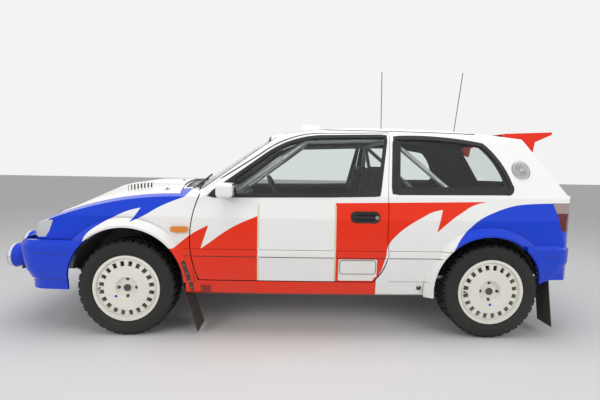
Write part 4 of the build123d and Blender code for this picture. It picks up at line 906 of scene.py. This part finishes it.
def pillar_caps():
    """Round ribbed cap on each rear pillar."""
    x, z = PILLAR_CAP
    here, fore, above = (cast(SIDE, ("body_side_left",), x + dx, z + dz)
                         for dx, dz in ((0, 0), (-0.05, 0), (0, 0.05)))
    out = (above - here).cross(fore - here).normalized()
    out = out if out.y < 0 else -out
    mesh = bmesh.new()
    turned(mesh, (10, 0, 11.5, 10, 10.5, 15, 3.5, 19, 2, 30, 3, 44, 8.5, 54, 9, 58, 2, 62, -4, 62), here,
           out, 40)
    base = out.orthogonal().normalized()
    other = out.cross(base)
    for n in range(CAP_RIBS):
        ray = base * cos(2 * pi * n / CAP_RIBS) + other * sin(2 * pi * n / CAP_RIBS)
        tube_into(mesh, [here + out * 0.004 + ray * 0.019, here + out * 0.0055 + ray * 0.049], 0.0026, 6)
    pair("pillar_cap", mesh, cap_metal)


bands()
quarter_borders()
door_fittings()
mirror_details()
pillar_caps()


# Wheels

TREAD_LUGS = 36
# Shares of a lug's pitch: its middle and half its width; half-widths of its ribs and centre blocks, the ribs'
# distance from the lug's middle and the blocks' shift round the tyre
LUG_MIDDLE = 0.67
LUG_SPREAD = 0.33
RIB_SPREAD = LUG_SPREAD * 0.44
RIB_MIDDLE = LUG_SPREAD * 0.53
BLOCK_SPREAD = LUG_SPREAD * 0.82
BLOCK_SHIFT = 0.17
TREAD_ROOT = 0.311
# Wall of the tyre from the tread's edge to the bead: distance from the middle and radius
TYRE_WALL = (
    (0.088, 0.3105), (0.0955, 0.304), (0.0992, 0.299), (0.1018, 0.289), (0.104, 0.278), (0.1058, 0.2745),
    (0.104, 0.271), (0.1052, 0.262), (0.104, 0.256), (0.106, 0.253), (0.1038, 0.25), (0.102, 0.244),
    (0.0995, 0.235), (0.097, 0.229), (0.0985, 0.2262), (0.095, 0.2235), (0.0885, 0.2205), (0.086, 0.2095))


def tread_rib(mesh, angle, spread, rows):
    """One rib of tread; rows across it: distance from the middle, inner and outer radius, and lean."""
    rings = []
    for y, low, high, lean in rows:
        at = angle + lean
        top = spread * 0.84
        ring = ((at - spread, low), (at + spread, low), (at + top, high), (at - top, high))
        rings.append([mesh.verts.new((radius * cos(turn), y, radius * sin(turn))) for turn, radius in ring])
    loft(mesh, rings, ring=True, capped=True)


def tyre_mesh():
    """Gravel tyre at the origin: carcass, ribbed walls, and the lugs, each of ribs and centre blocks."""
    mesh = bmesh.new()
    rows = [(-y, r) for y, r in reversed(TYRE_WALL)] + [(-0.06, TREAD_ROOT), (0.06, TREAD_ROOT), *TYRE_WALL]
    lathe(mesh, rows, (0, 0, 0), Y, 72)
    pitch = 2 * pi / TREAD_LUGS
    for n in range(TREAD_LUGS):
        for side in (-1, 1):
            for half in (-1, 1):
                angle = pitch * (n + LUG_MIDDLE + half * RIB_MIDDLE)
                rows = ((side * 0.04, 0.309, 0.3198, half * 0.004), (side * 0.0845, 0.306, 0.32, 0),
                        (side * 0.0972, 0.3, 0.3085, 0), (side * 0.1012, 0.288, 0.294, 0))
                tread_rib(mesh, angle, pitch * RIB_SPREAD, rows)
        for side in (-1, 1):
            angle = pitch * (n + LUG_MIDDLE - side * BLOCK_SHIFT)
            rows = [(side * 0.0185 + lean * 1.25, 0.309, 0.3198, lean) for lean in (-0.012, 0.012)]
            tread_rib(mesh, angle, pitch * BLOCK_SPREAD, rows)
    return mesh


def tyres():
    """The four tyres in place of the plain ones."""
    for end, axle_x in (("front", FRONT_AXLE_X), ("rear", REAR_AXLE_X)):
        for side, sign in (("left", -1), ("right", 1)):
            mesh = tyre_mesh()
            place = Matrix.Translation((axle_x, sign * WHEEL_Y, HUB_Z)) @ Matrix.Diagonal((1, -sign, 1, 1))
            bmesh.ops.transform(mesh, matrix=place, verts=mesh.verts)
            made = publish(f"gravel_tyre_{end}_{side}", mesh, rubber_tread, f"wheel_{end}_{side}")
            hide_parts(f"tyre_{end}_{side}")


STUD_CIRCLE = 0.05715
DOT_CIRCLE = 0.088
VALVE_CIRCLE = 0.176


def wheel_details():
    """Nuts, hub cap, valve and a blue dot on each wheel."""
    for end, axle_x, dot_turn in (("front", FRONT_AXLE_X, radians(232)), ("rear", REAR_AXLE_X, radians(178))):
        bodies = (f"wheel_{end}_left", f"wheel_{end}_right")
        hub = Vector((axle_x, -WHEEL_Y, HUB_Z))
        mesh = bmesh.new()
        for n in range(4):
            turn = pi / 2 * n
            nut = hub + Vector((sin(turn), 0, cos(turn))) * STUD_CIRCLE
            turned(mesh, (52, 0, 52, 10.5, 57.5, 10.5, 58, 8.8, 71, 8.8, 74, 6.6, 75.5, 0), nut, -Y, 6)
        turned(mesh, (73.5, 0, 73.5, 24, 78.5, 24, 81.5, 21, 81.5, 17.5, 77.5, 14, 76.8, 6, 78, 0), hub, -Y,
               32)
        pair(f"wheel_nuts_{end}", mesh, cast_metal, bodies)
        mesh = bmesh.new()
        dot = hub + Vector((sin(dot_turn), 0, cos(dot_turn))) * DOT_CIRCLE
        turned(mesh, (88, 8.5, 93, 8.5, 94, 7, 94, 0), dot, -Y, 20)
        pair(f"wheel_dot_{end}", mesh, blue_paint, bodies)
        mesh = bmesh.new()
        stem = hub + Vector((-VALVE_CIRCLE, -0.088, 0))
        turned(mesh, (0, 6.5, 4, 6, 7, 3.6, 20, 3.6, 21, 4.5, 30, 4.5, 31, 0), stem, (0.15, -1, 0), 12)
        pair(f"valve_{end}", mesh, black_rubber, bodies)


tyres()
wheel_details()


# Front

# Driving lamps: y and z of their middles; their face's x and radius
DRIVING_LAMPS = ((-0.606, 0.49), (-0.44, 0.552), (0.44, 0.552), (0.606, 0.49))
LAMP_FACE_X = -1.972
LAMP_RADIUS = 0.082


def lamp_fronts():
    """Chrome rim, ribbed glass and foot of each driving lamp."""
    rims, lenses, feet = bmesh.new(), bmesh.new(), bmesh.new()
    r = LAMP_RADIUS
    for y, z in DRIVING_LAMPS:
        place = (LAMP_FACE_X, y, z)
        lathe(rims, ((-0.018, r - 0.002), (-0.018, r + 0.0015), (-0.004, r + 0.0025), (0.004, r + 0.0015),
                     (0.0085, r - 0.004), (0.0065, r - 0.008), (0.001, r - 0.0085)), place, -X, 56)
        lathe(lenses, ((0.0015, r - 0.008), (0.0045, r - 0.016), (0.0065, r - 0.04), (0.0075, 0.0)),
              place, -X, 56)
        turned(feet, (-4, 8.5, 12, 8.5, 16, 12.5, 24, 12.5, 24, 0), (LAMP_FACE_X + 0.05, y, z - r * 0.86),
               -Z, 12)
        for side in (-1, 1):
            fastener(rims, (LAMP_FACE_X + 0.006, y, z + side * (r + 0.001)), Z * side, 0.0035, 0.003)
    publish("driving_lamp_rims", rims, chrome)
    publish("driving_lamp_glasses", lenses, drive_glass)
    publish("driving_lamp_feet", feet, black_metal)


# The pins' bent clips, across the bonnet's slope and sideways
PIN_CLIP = ((-0.012, 0), (0.004, 0), (0.014, 0.004), (0.018, 0.012), (0.012, 0.018), (0.002, 0.014))


def bonnet_pins():
    """Four locking pins on discs, two at the front edge of the bonnet and two at the back."""
    discs, clips = bmesh.new(), bmesh.new()
    for x, y in ((-1.73, -0.46), (-1.73, 0.46), (-0.925, -0.56), (-0.925, 0.56)):
        hit, near = (cast(ABOVE, ("bonnet",), x + dx, y) for dx in (0, 0.02))
        out = Vector((hit.z - near.z, 0, 0.02)).normalized()
        turned(discs, (-1, 21, 1.5, 21, 3, 19, 3, 7.5, 2.2, 6, 2.2, 0), hit, out, 28)
        turned(discs, (0, 4.2, 13, 4.2, 15.5, 2.8, 16, 0), hit, out, 12)
        side = out.cross(Y)
        middle = hit + out * 0.0085
        tube_into(clips, [middle + side * a + Y * b for a, b in PIN_CLIP], 0.0011, 6)
    publish("bonnet_pin_discs", discs, bare_metal, "bonnet")
    publish("bonnet_pin_clips", clips, bare_metal, "bonnet")


# Intake bars, level ones: count, lowest height, step; upright ones: count, nearest to the middle, step
LEVEL_BARS = (5, 0.412, 0.0195)
UPRIGHT_BARS = (16, 0.03, 0.0225)


def bow(y):
    """How far the bumper falls back at a distance from its middle."""
    return 0.02 * (y / 0.37) ** 2


def intake_mesh():
    """Dark bars across the bumper's air intakes."""
    mesh = bmesh.new()
    for side in (-1, 1):
        count, first, step = LEVEL_BARS
        for k in range(count):
            points = [(bow(y) - 1.915, side * y, first + k * step) for y in (0.012, 0.1, 0.2, 0.29, 0.378)]
            tube_into(mesh, points, 0.0016, 6)
        count, first, step = UPRIGHT_BARS
        for y in (first + k * step for k in range(count)):
            tube_into(mesh, [(bow(y) - 1.9135, side * y, z) for z in (0.398, 0.506)], 0.0014, 6)
    publish("intake_bars", mesh, black_metal)


def nose_details():
    """Screws on the nose and bumper, a tow eye and the two washer jets."""
    mesh = bmesh.new()
    for node, z, far, near in (("nose_panel", 0.69, 0.5, 0.36), ("front_bumper", 0.34, 0.7, 0.35)):
        fasteners(mesh, AHEAD, (node,), [(y, z) for y in (-far, far, -near, near)], 0.0065, 0.0035)
    publish("nose_screws", mesh, bare_metal)
    mesh = bmesh.new()
    middle = cast(AHEAD, ("front_bumper",), 0.22, 0.355) - X * 0.01
    tube_into(mesh, [middle + Vector((-0.011 * sin(turn), 0, 0.0165 * cos(turn)))
                     for turn in (2 * pi * n / 20 for n in range(20))], 0.0045, 8, closed=True)
    publish("tow_eye", mesh, red_paint)
    mesh = bmesh.new()
    for y in (-0.2, 0.2):
        box_into(mesh, (-0.01, -0.006, -0.001), (0.008, 0.006, 0.0055), 0.002, 2,
                 at=cast(ABOVE, ("bonnet",), -0.9, y))
    publish("washer_jets", mesh, black_plastic, "bonnet")


lamp_fronts()
bonnet_pins()
intake_mesh()
nose_details()


# Cabin

SEAT_Y = 0.35
# The pads: size of the mesh before it is blown up, pressure and steps of the filling, width of sewn channels
PAD_VOXEL = 0.006
PAD_PRESSURE = 4.0
PAD_STEPS = 20
CHANNEL_WIDTH = 0.006


def bake(obj):
    """An object's modifiers made into its mesh."""
    bpy.context.view_layer.update()
    shape = bpy.data.meshes.new_from_object(obj.evaluated_get(bpy.context.evaluated_depsgraph_get()))
    obj.modifiers.clear()
    old, obj.data = obj.data, shape
    bpy.data.meshes.remove(old)


def swollen(name, mesh, cap, channels):
    """A sewn pad: its plain form remeshed, blown up a little as cloth, and creased along its channels."""
    made = shaped(name, mesh)
    remesh = made.modifiers.new("remesh", "REMESH")
    remesh.mode = "VOXEL"
    remesh.voxel_size = PAD_VOXEL
    bake(made)
    plain_places = [vert.co.copy() for vert in made.data.vertices]
    cloth = made.modifiers.new("fill", "CLOTH").settings
    cloth.use_pressure = True
    cloth.uniform_pressure_force = PAD_PRESSURE
    cloth.effector_weights.gravity = 0.0
    scene = bpy.context.scene
    for frame_number in range(1, PAD_STEPS + 1):
        scene.frame_set(frame_number)
        bpy.context.view_layer.update()
    bake(made)
    scene.frame_set(1)
    for vert, place in zip(made.data.vertices, plain_places):
        shift = vert.co - place
        vert.co = place + shift * min(1.0, cap / max(shift.length, 1e-9))
    for vert in made.data.vertices:
        vert.co -= vert.normal * sum(depth * exp(-((vert.co.y - line) / CHANNEL_WIDTH) ** 2)
                                     for line, depth in channels)
    smooth = made.modifiers.new("smooth", "SUBSURF")
    smooth.levels = smooth.render_levels = 1
    return made


def slab_into(mesh, points, half):
    """A thick pad from a side-view outline, with rounded edges."""
    near, far = ([mesh.verts.new((x, y, z)) for x, z in points] for y in (-half, half))
    mesh.faces.new(near)
    mesh.faces.new(far)
    loft(mesh, [near, far], ring=True)
    bmesh.ops.recalc_face_normals(mesh, faces=mesh.faces)
    rounded(mesh, mesh.edges[:], 0.012, 3)


# Sewn channels of the large pads: distance from the middle and depth
CHANNELS = ((-0.078, 0.0045), (0.078, 0.0045))
# Seat pads: name, side-view outline, half-width, swelling, channels
SEAT_PADS = (
    ("seat_cushion", ((0.15, 0.408), (0.16, 0.448), (0.3, 0.446), (0.468, 0.432), (0.478, 0.398),
                      (0.3, 0.402)), 0.188, 0.01, CHANNELS),
    ("back_cushion", ((0.455, 0.48), (0.478, 0.7), (0.492, 0.88), (0.524, 0.88), (0.512, 0.7),
                      (0.5, 0.47)), 0.188, 0.01, CHANNELS),
    ("head_cushion", ((0.507, 0.935), (0.516, 1.035), (0.538, 1.035), (0.53, 0.93)), 0.135, 0.007, ()),
)


def seat_pads():
    """Padded cushions of both bucket seats."""
    for name, outline, half, cap, channels in SEAT_PADS:
        mesh = bmesh.new()
        slab_into(mesh, outline, half)
        made = swollen(name + "_left", mesh, cap, channels)
        match = made.copy()
        match.data = made.data.copy()
        match.name = match.data.name = name + "_right"
        bpy.context.collection.objects.link(match)
        for obj, y in ((made, -SEAT_Y), (match, SEAT_Y)):
            obj.data.transform(Matrix.Translation((0, y, 0)))
            dress(obj, pad_cloth)
            obj.data.shade_smooth()
            settled(obj, "body")


def webbing_into(mesh, points, width, across=Y):
    """A flat strap along points."""
    points = [Vector(point) for point in points]
    rings = []
    for n, point in enumerate(points):
        before, after = neighbours(points, n)
        along = (after - before).normalized()
        side = (across - along * across.dot(along)).normalized()
        up = along.cross(side)
        rings.append([mesh.verts.new(point + side * a * width / 2 + up * b * WEBBING_THICKNESS / 2)
                      for a, b in ((-1, -1), (1, -1), (1, 1), (-1, 1))])
    loft(mesh, rings, ring=True, capped=True)


WEBBING_THICKNESS = 0.0025
# Harness of one seat: points about its middle
SHOULDER_STRAP = ((0.7, 0.07, 1.012), (0.64, 0.068, 1.075), (0.6, 0.066, 1.083), (0.552, 0.066, 1.083),
                  (0.52, 0.066, 1.068), (0.496, 0.066, 1.0), (0.48, 0.066, 0.9), (0.462, 0.064, 0.76),
                  (0.44, 0.055, 0.64), (0.418, 0.036, 0.55), (0.404, 0.02, 0.505))
LAP_STRAP = ((0.452, 0.198, 0.47), (0.44, 0.17, 0.478), (0.42, 0.1, 0.482), (0.405, 0.024, 0.486))
CROTCH_STRAP = ((0.404, 0.0, 0.486), (0.38, 0.0, 0.47), (0.33, 0.0, 0.463), (0.27, 0.0, 0.463))
# The points at which the shoulder and lap straps carry their adjusters
SHOULDER_ADJUSTER = 7
LAP_ADJUSTER = 2


def harnesses():
    """Six-point harness of each seat, with its adjusters and turn buckle."""
    straps, fittings = bmesh.new(), bmesh.new()
    for seat_y in (-SEAT_Y, SEAT_Y):
        for side in (-1, 1):
            shoulder, lap = ([(x, seat_y + side * y, z) for x, y, z in run]
                             for run in (SHOULDER_STRAP, LAP_STRAP))
            webbing_into(straps, shoulder, 0.046)
            webbing_into(straps, lap, 0.044, Vector((0.3, 0, 1)).normalized())
            box_into(fittings, (-0.008, -0.03, -0.016), (0.001, 0.03, 0.016), 0.003, 2,
                     at=shoulder[SHOULDER_ADJUSTER])
            box_into(fittings, (-0.012, -0.013, -0.026), (0.004, 0.013, 0.026), 0.003, 2,
                     at=lap[LAP_ADJUSTER])
        webbing_into(straps, [(x, seat_y + y, z) for x, y, z in CROTCH_STRAP], 0.04)
        turned(fittings, (-8, 0, -8, 30, 4, 32, 10, 29, 10, 20, 16, 17, 17, 0), (0.402, seat_y, 0.494),
               (-0.9, 0, 0.42), 28)
    publish("harness_straps", straps, strap_web)
    publish("harness_fittings", fittings, bare_metal)


DIAL_X = -0.421
# Dials: distance from the driver's middle, height, radius
DIALS = ((-0.062, 0.884, 0.036), (0.028, 0.884, 0.036), (0.098, 0.884, 0.025), (-0.13, 0.884, 0.022))


def dials():
    """Round dials with ticks and needles on the hump."""
    rims, faces, marks = bmesh.new(), bmesh.new(), bmesh.new()
    for offset, z, radius in DIALS:
        place = Vector((DIAL_X, -SEAT_Y + offset, z))
        lathe(rims, ((-0.001, radius), (0.005, radius), (0.006, radius - 0.0015), (0.0055, radius - 0.004),
                     (0.001, radius - 0.0045)), place, X, 36)
        lathe(faces, ((0.0, radius - 0.003), (0.0015, radius - 0.0045), (0.0015, 0.0)), place, X, 36)
        ticks = [(225 - 27 * n, 0.0018, radius - 0.0095, radius - 0.0055, 0.0006) for n in range(11)]
        needle = (160 if offset > 0 else 200, 0.0028, -0.004, radius - 0.009, 0.0008)
        for turn, lift, near, far, thick in (*ticks, needle):
            ray = Vector((0, cos(radians(turn)), sin(radians(turn))))
            tube_into(marks, [place + X * lift + ray * reach for reach in (near, far)], thick, 4)
    publish("dial_rims", rims, bare_metal)
    publish("dial_faces", faces, black_plastic)
    publish("dial_marks", marks, dial_white)


def switch_panels():
    """Switches in the middle of the dash, and the navigator's boxes."""
    plates, switches = bmesh.new(), bmesh.new()
    for y0, y1, z0, z1 in ((-0.15, 0.03, 0.76, 0.88), (0.22, 0.4, 0.8, 0.872), (0.42, 0.52, 0.79, 0.88)):
        box_into(plates, (-0.44, y0, z0), (DIAL_X, y1, z1), 0.004, 2)
    for row in range(3):
        for k in range(5):
            place = Vector((DIAL_X, -0.13 + 0.035 * k, 0.785 + 0.035 * row))
            turned(switches, (0, 6.5, 3, 6.5, 3.5, 3.5), place, X, 6)
            tube_into(switches, [place + X * 0.003, place + Vector((0.016, 0, 0.005))], 0.0022, 8)
    for y in (0.25, 0.3, 0.35):
        turned(switches, (0, 11, 9, 10, 10, 8, 10, 0), (DIAL_X, y, 0.822), X, 20)
    publish("dash_plates", plates, black_metal)
    publish("dash_switches", switches, bare_metal)


TUNNEL_TOP = 0.39


def levers():
    """Gear lever in its boot, and the tall handbrake."""
    rods, grips, boots = bmesh.new(), bmesh.new(), bmesh.new()
    gear = [(-0.06, 0.0, TUNNEL_TOP), (-0.05, -0.004, 0.47), (-0.03, -0.014, 0.56), (-0.02, -0.02, 0.625)]
    tube_into(rods, gear, 0.0065, 10)
    turned(grips, (-26, 0, -24, 9, -14, 18, 0, 23.5, 13, 19.5, 21, 10, 23.5, 0), (-0.018, -0.021, 0.64),
           (0.14, -0.08, 1), 20)
    turned(boots, (0, 62, 6, 60, 12, 50, 22, 48, 28, 37, 38, 36, 44, 25, 56, 22, 64, 10, 70, 7), gear[0],
           (0.1, 0, 1), 24)
    brake = [(0.03, -0.06, TUNNEL_TOP + 0.004), (0.026, -0.062, 0.5), (0.014, -0.066, 0.62)]
    tube_into(rods, brake, 0.008, 10)
    tube_into(grips, [brake[2], (0.002, -0.069, 0.735)], 0.0145, 14)
    box_into(boots, (-0.015, -0.085, TUNNEL_TOP), (0.1, -0.038, TUNNEL_TOP + 0.022), 0.006, 2)
    publish("cabin_levers", rods, bare_metal)
    publish("lever_grips", grips, black_rubber)
    publish("lever_boots", boots, black_rubber)


def pedals():
    """Three pedals under the dash and the navigator's foot plate."""
    arms, pads = bmesh.new(), bmesh.new()
    for y, low, half in ((-0.44, 0.405, 0.028), (-0.355, 0.405, 0.03), (-0.27, 0.385, 0.022)):
        tube_into(arms, [(-0.645, y, 0.7), (-0.628, y, 0.56), (-0.585, y, low + 0.02)], 0.007, 8)
        box_into(pads, (-0.588, -half, -0.02), (-0.578, half, 0.045), 0.003, 2, at=(0, y, low))
        for k in range(3):
            box_into(pads, (-0.579, 0.004 - half, -0.008), (-0.5755, half - 0.004, -0.002),
                     at=(0, y, low + 0.018 * k))
    for y in (SEAT_Y - 0.12, SEAT_Y + 0.12):
        tube_into(arms, [(-0.64, y, 0.33), (-0.47, y, 0.286)], 0.007, 8)
    box_into(pads, (-0.6, -0.15, 0.325), (-0.59, 0.15, 0.45), 0.004, 2, at=Y * SEAT_Y)
    publish("pedal_arms", arms, bare_metal)
    publish("pedal_pads", pads, black_metal)


# Steering wheel: middle, lean of its axis, radius of its rim
WHEEL_MIDDLE = Vector((-0.15, -SEAT_Y, 0.905))
WHEEL_LEAN = radians(24)
WHEEL_RADIUS = 0.172


def wheel_boss():
    """The steering wheel's boss ring, screws and a strip at the top of its rim."""
    axis = Vector((cos(WHEEL_LEAN), 0, sin(WHEEL_LEAN)))
    up = Vector((-sin(WHEEL_LEAN), 0, cos(WHEEL_LEAN)))

    def around(turn, radius):
        return WHEEL_MIDDLE + (Y * cos(turn) + up * sin(turn)) * radius

    mesh = bmesh.new()
    turned(mesh, (-16, 36.5, -8, 36.5, -6, 34, -6, 20, -2, 18, -1, 0), WHEEL_MIDDLE, axis, 32)
    for n in range(6):
        fastener(mesh, around(2 * pi * (n + 0.5) / 6, 0.0275) + axis * -0.006, axis, 0.0034, 0.0025)
    publish("wheel_boss", mesh, bare_metal, "steering_wheel")
    mesh = bmesh.new()
    tube_into(mesh, [around(pi / 2 + radians(5) * k, WHEEL_RADIUS) for k in range(-2, 3)], 0.0149, 20)
    publish("wheel_top_mark", mesh, tape, "steering_wheel")


seat_pads()
harnesses()
dials()
switch_panels()
levers()
pedals()
wheel_boss()


# Chassis, sills and bumpers

STRUT_Y = 0.552
# Springs: lowest and highest coil, coil radius, wire radius, turns
SPRING = (0.676, 0.808, 0.06, 0.0062, 4.5)


def springs():
    """A coil spring with its lower seat round each strut."""
    low, high, radius, wire, turns = SPRING
    coils, seats = bmesh.new(), bmesh.new()
    count = round(turns * 18)
    for x in (FRONT_AXLE_X, REAR_AXLE_X):
        for side in (-1, 1):
            middle = Vector((x, side * STRUT_Y, 0))
            line = []
            for n in range(count + 1):
                turn = 2 * pi * turns * n / count
                height = low + (high - low) * n / count
                line.append(middle + Vector((radius * cos(turn), radius * sin(turn), height)))
            tube_into(coils, line, wire, 8)
            turned(seats, (-4, 24, -4, 62, 0, 66.5, 6, 66.5, 6, 62, 3, 58), middle + Z * (low - 0.014), Z,
                   36)
    publish("coil_springs", coils, spring_yellow)
    publish("spring_seats", seats, black_metal)


def skid_bolts():
    """Domed bolts along the skid plate's edges."""
    mesh = bmesh.new()
    places = [(x, y) for x in (-1.5, -1.3, -1.1, -0.9, -0.7) for y in (-0.285, 0.285)]
    fasteners(mesh, BENEATH, ("skid_plate",), places, 0.009, 0.004)
    publish("skid_plate_bolts", mesh, bare_metal)


# Mud flaps' clamping strips: where the look starts, height
FLAP_STRIPS = ((0.0, 0.395), (2.5, 0.405))


def flap_strips():
    """A bolted strip at the top of each mud flap."""
    strips, heads = bmesh.new(), bmesh.new()
    for start_x, z in FLAP_STRIPS:
        look = (X * start_x, Y, Z, -X)
        for side in (-1, 1):
            line = [(side * 0.64, z), (side * 0.785, z)]
            laid_band(strips, look, ("mud_flaps",), line, 0.02, 0.003, step=0.05)
            places = [(side * y, z) for y in (0.66, 0.712, 0.765)]
            fasteners(heads, look, ("mud_flaps",), places, 0.0065, 0.004, 0.003)
    publish("mud_flap_strips", strips, worn_alloy)
    publish("mud_flap_bolts", heads, bare_metal)


JACK_HOLE = (0.818, 0.345)


def jack_plugs():
    """The jack holes with their plugs."""
    mesh = bmesh.new()
    turned(mesh, (-1, 17.5, 2.2, 17, 3, 15, 1.2, 12, 0.6, 0), cast(SIDE, ("body_side_left",), *JACK_HOLE),
           -Y, 32)
    pair("jack_plug", mesh, black_rubber)


def underbody_lines():
    """Brake and fuel pipes clipped along the floor's left side."""
    pipes, clips = bmesh.new(), bmesh.new()
    floor = ("floor_pan",)
    for y in (-0.42, -0.432, -0.444):
        hits = [cast(BENEATH, floor, -0.6 + 0.1 * n, y) for n in range(13)]
        tube_into(pipes, [hit - Z * 0.0045 for hit in hits if hit is not None], 0.003, 6)
    for x in (-0.45, -0.15, 0.15, 0.45):
        hit = cast(BENEATH, floor, x, -0.432)
        box_into(clips, (-0.008, -0.02, -0.01), (0.008, 0.02, 0.001), 0.0015, at=hit)
    publish("floor_pipes", pipes, bare_metal)
    publish("pipe_clips", clips, black_plastic)


# Bolts of the front mud flaps' hangers, along the arch's rear edge
HANGER_BOLTS = ((-0.738, 0.486), (-0.72, 0.432), (-0.706, 0.378), (-0.698, 0.33))


def hanger_bolts():
    """Bolts of the front mud flaps' hangers."""
    mesh = bmesh.new()
    fasteners(mesh, SIDE, ("front_fenders", "body_side_left"), HANGER_BOLTS, 0.0065, 0.004, 0.004)
    pair("flap_hanger_bolts", mesh, bare_metal)


# Cowl grille: columns across the car, rows along each, and the rows left open in every other gap
COWL_COLUMNS = 61
COWL_ROWS = 8
COWL_SLOTS = range(2, 6)
# Its half-width, and where its front and back edges are looked for: x from, step, count
COWL_HALF = 0.495
COWL_SEARCH = (-0.87, 0.004, 50)


def cowl_grille():
    """Black vented strip over the scuttle, between the bonnet and the windscreen."""
    scuttle = ("scuttle",)
    first, step, count = COWL_SEARCH
    mesh = bmesh.new()
    columns = []
    for n in range(COWL_COLUMNS):
        y = COWL_HALF * (2 * n / (COWL_COLUMNS - 1) - 1)
        edge = [x for x in (first + step * k for k in range(count)) if cast(ABOVE, scuttle, x, y) is not None]
        low, high = min(edge) + 0.01, max(edge) - 0.01
        columns.append([corner(mesh, ABOVE, scuttle, low + (high - low) * k / COWL_ROWS, y,
                               0.004 if 0 < k < COWL_ROWS else -0.001) for k in range(COWL_ROWS + 1)])
    for n in range(COWL_COLUMNS - 1):
        for k in range(COWL_ROWS):
            if n % 2 == 0 or k not in COWL_SLOTS:
                loft(mesh, [column[k:k + 2] for column in columns[n:n + 2]])
    publish("cowl_grille", mesh, black_plastic)


hanger_bolts()
cowl_grille()
springs()
skid_bolts()
flap_strips()
jack_plugs()
underbody_lines()


# Tail and roof

TAILGATE = ("tailgate",)


def tailgate_lock():
    """Push-button lock in its ring on the tailgate."""
    hit = cast(ASTERN, TAILGATE, 0.0, 0.8)
    mesh = bmesh.new()
    turned(mesh, (-2, 20, 3, 20, 5, 17.5, 5, 13.5, 3, 12.5, 7.5, 11.5, 8.5, 10, 8.5, 0), hit, X, 36)
    box_into(mesh, (0.008, -0.001, -0.005), (0.009, 0.001, 0.005), at=hit)
    publish("tailgate_lock", mesh, bare_metal, "tailgate")


def wing_bolts():
    """Domed bolts through the wing's top, along its front edge."""
    mesh = bmesh.new()
    fasteners(mesh, ABOVE, ("rear_wing",), [(1.56, y) for y in (-0.42, -0.14, 0.14, 0.42)], 0.007, 0.004)
    publish("wing_bolts", mesh, bare_metal, "tailgate")


VENT_WIRES = 19


def vent_mesh():
    """Wire mesh across the roof vent's mouth."""
    low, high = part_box("roof_vent")
    mesh = bmesh.new()
    x = low[0] + 0.01
    for k in range(3):
        z = low[2] + 0.024 + 0.01 * k
        tube_into(mesh, [(x, y, z) for y in (low[1] + 0.016, 0.0, high[1] - 0.016)], 0.001, 6)
    for k in range(VENT_WIRES):
        y = low[1] + 0.02 + (high[1] - low[1] - 0.04) * k / (VENT_WIRES - 1)
        tube_into(mesh, [(x + 0.001, y, low[2] + z) for z in (0.018, 0.05)], 0.001, 6)
    publish("roof_vent_mesh", mesh, black_metal)


AERIAL_FEET = (0.706, 1.327)


def aerial_feet():
    """Rubber foot at the bottom of each aerial."""
    mesh = bmesh.new()
    for x in AERIAL_FEET:
        turned(mesh, (-2, 24, 3, 24, 6, 20, 16, 12, 24, 9), cast(ABOVE, ("roof_panel",), x, 0.0), Z, 28)
    publish("aerial_feet", mesh, black_rubber)


tailgate_lock()
wing_bolts()
vent_mesh()
aerial_feet()


# Studio

def backdrop():
    """Pale floor under the car."""
    made, tree, shader = start("floor_grey")
    settle(shader, Base_Color=(0.66, 0.66, 0.66, 1), Roughness=0.9)
    mesh = bmesh.new()
    bmesh.ops.create_grid(mesh, x_segments=1, y_segments=1, size=30.0)
    floor = shaped("floor", mesh)
    dress(floor, made)


def lamp_panel(name, place, aim, size, power):
    """A soft rectangular light."""
    data = bpy.data.lights.new(name, "AREA")
    data.shape = "RECTANGLE"
    data.size, data.size_y = size
    data.energy = power
    made = placed(name, data)
    made.location = place
    made.rotation_euler = (Vector(aim) - Vector(place)).to_track_quat("-Z", "Y").to_euler()
    made.visible_glossy = False


# Lights: name, place, aim, size, power
LIGHTS = (
    ("ceiling", (0.2, -0.6, 4.6), (0, 0, 0.4), (5.5, 2.6), 120),
    ("front_left", (-3.6, -4.4, 2.8), (-0.4, 0, 0.6), (2.4, 1.6), 75),
    ("rear_left", (3.9, -4.0, 2.4), (0.6, 0, 0.7), (2.4, 1.6), 55),
    ("far_side", (0.0, 4.8, 3.2), (0, 0, 0.6), (3.0, 1.6), 35),
)


def studio():
    """World, lights and the photograph's camera."""
    backdrop()
    world = bpy.data.worlds.new("studio")
    bpy.context.scene.world = world
    world.use_nodes = True
    tree = world.node_tree
    sky = tree.nodes["Background"]
    sky.inputs[0].default_value = (1, 1, 1, 1)
    rays = add(tree, "ShaderNodeLightPath").outputs
    seen = folded(tree, "MAXIMUM", rays["Is Camera Ray"], rays["Is Glossy Ray"], rays["Is Transmission Ray"])
    tree.links.new(sums(tree, "MULTIPLY_ADD", seen, 0.4, 0.5), sky.inputs[1])
    for light in LIGHTS:
        lamp_panel(*light)

    data = bpy.data.cameras.new("photo_view")
    data.lens = LENS
    data.sensor_width = 36.0
    camera = placed("photo_view", data)
    level = Vector((cos(CAMERA_YAW), -sin(CAMERA_YAW), 0))
    onward = Vector((sin(CAMERA_YAW), cos(CAMERA_YAW), 0)) * cos(CAMERA_PITCH) - Z * sin(CAMERA_PITCH)
    upward = level.cross(onward)
    right = level * cos(CAMERA_ROLL) + upward * sin(CAMERA_ROLL)
    up = upward * cos(CAMERA_ROLL) - level * sin(CAMERA_ROLL)
    turn = Matrix((right, up, -onward)).transposed()
    camera.matrix_world = Matrix.Translation(CAMERA_PLACE) @ turn.to_4x4()
    bpy.context.scene.camera = camera
    bpy.context.scene.view_settings.view_transform = "Standard"


studio()
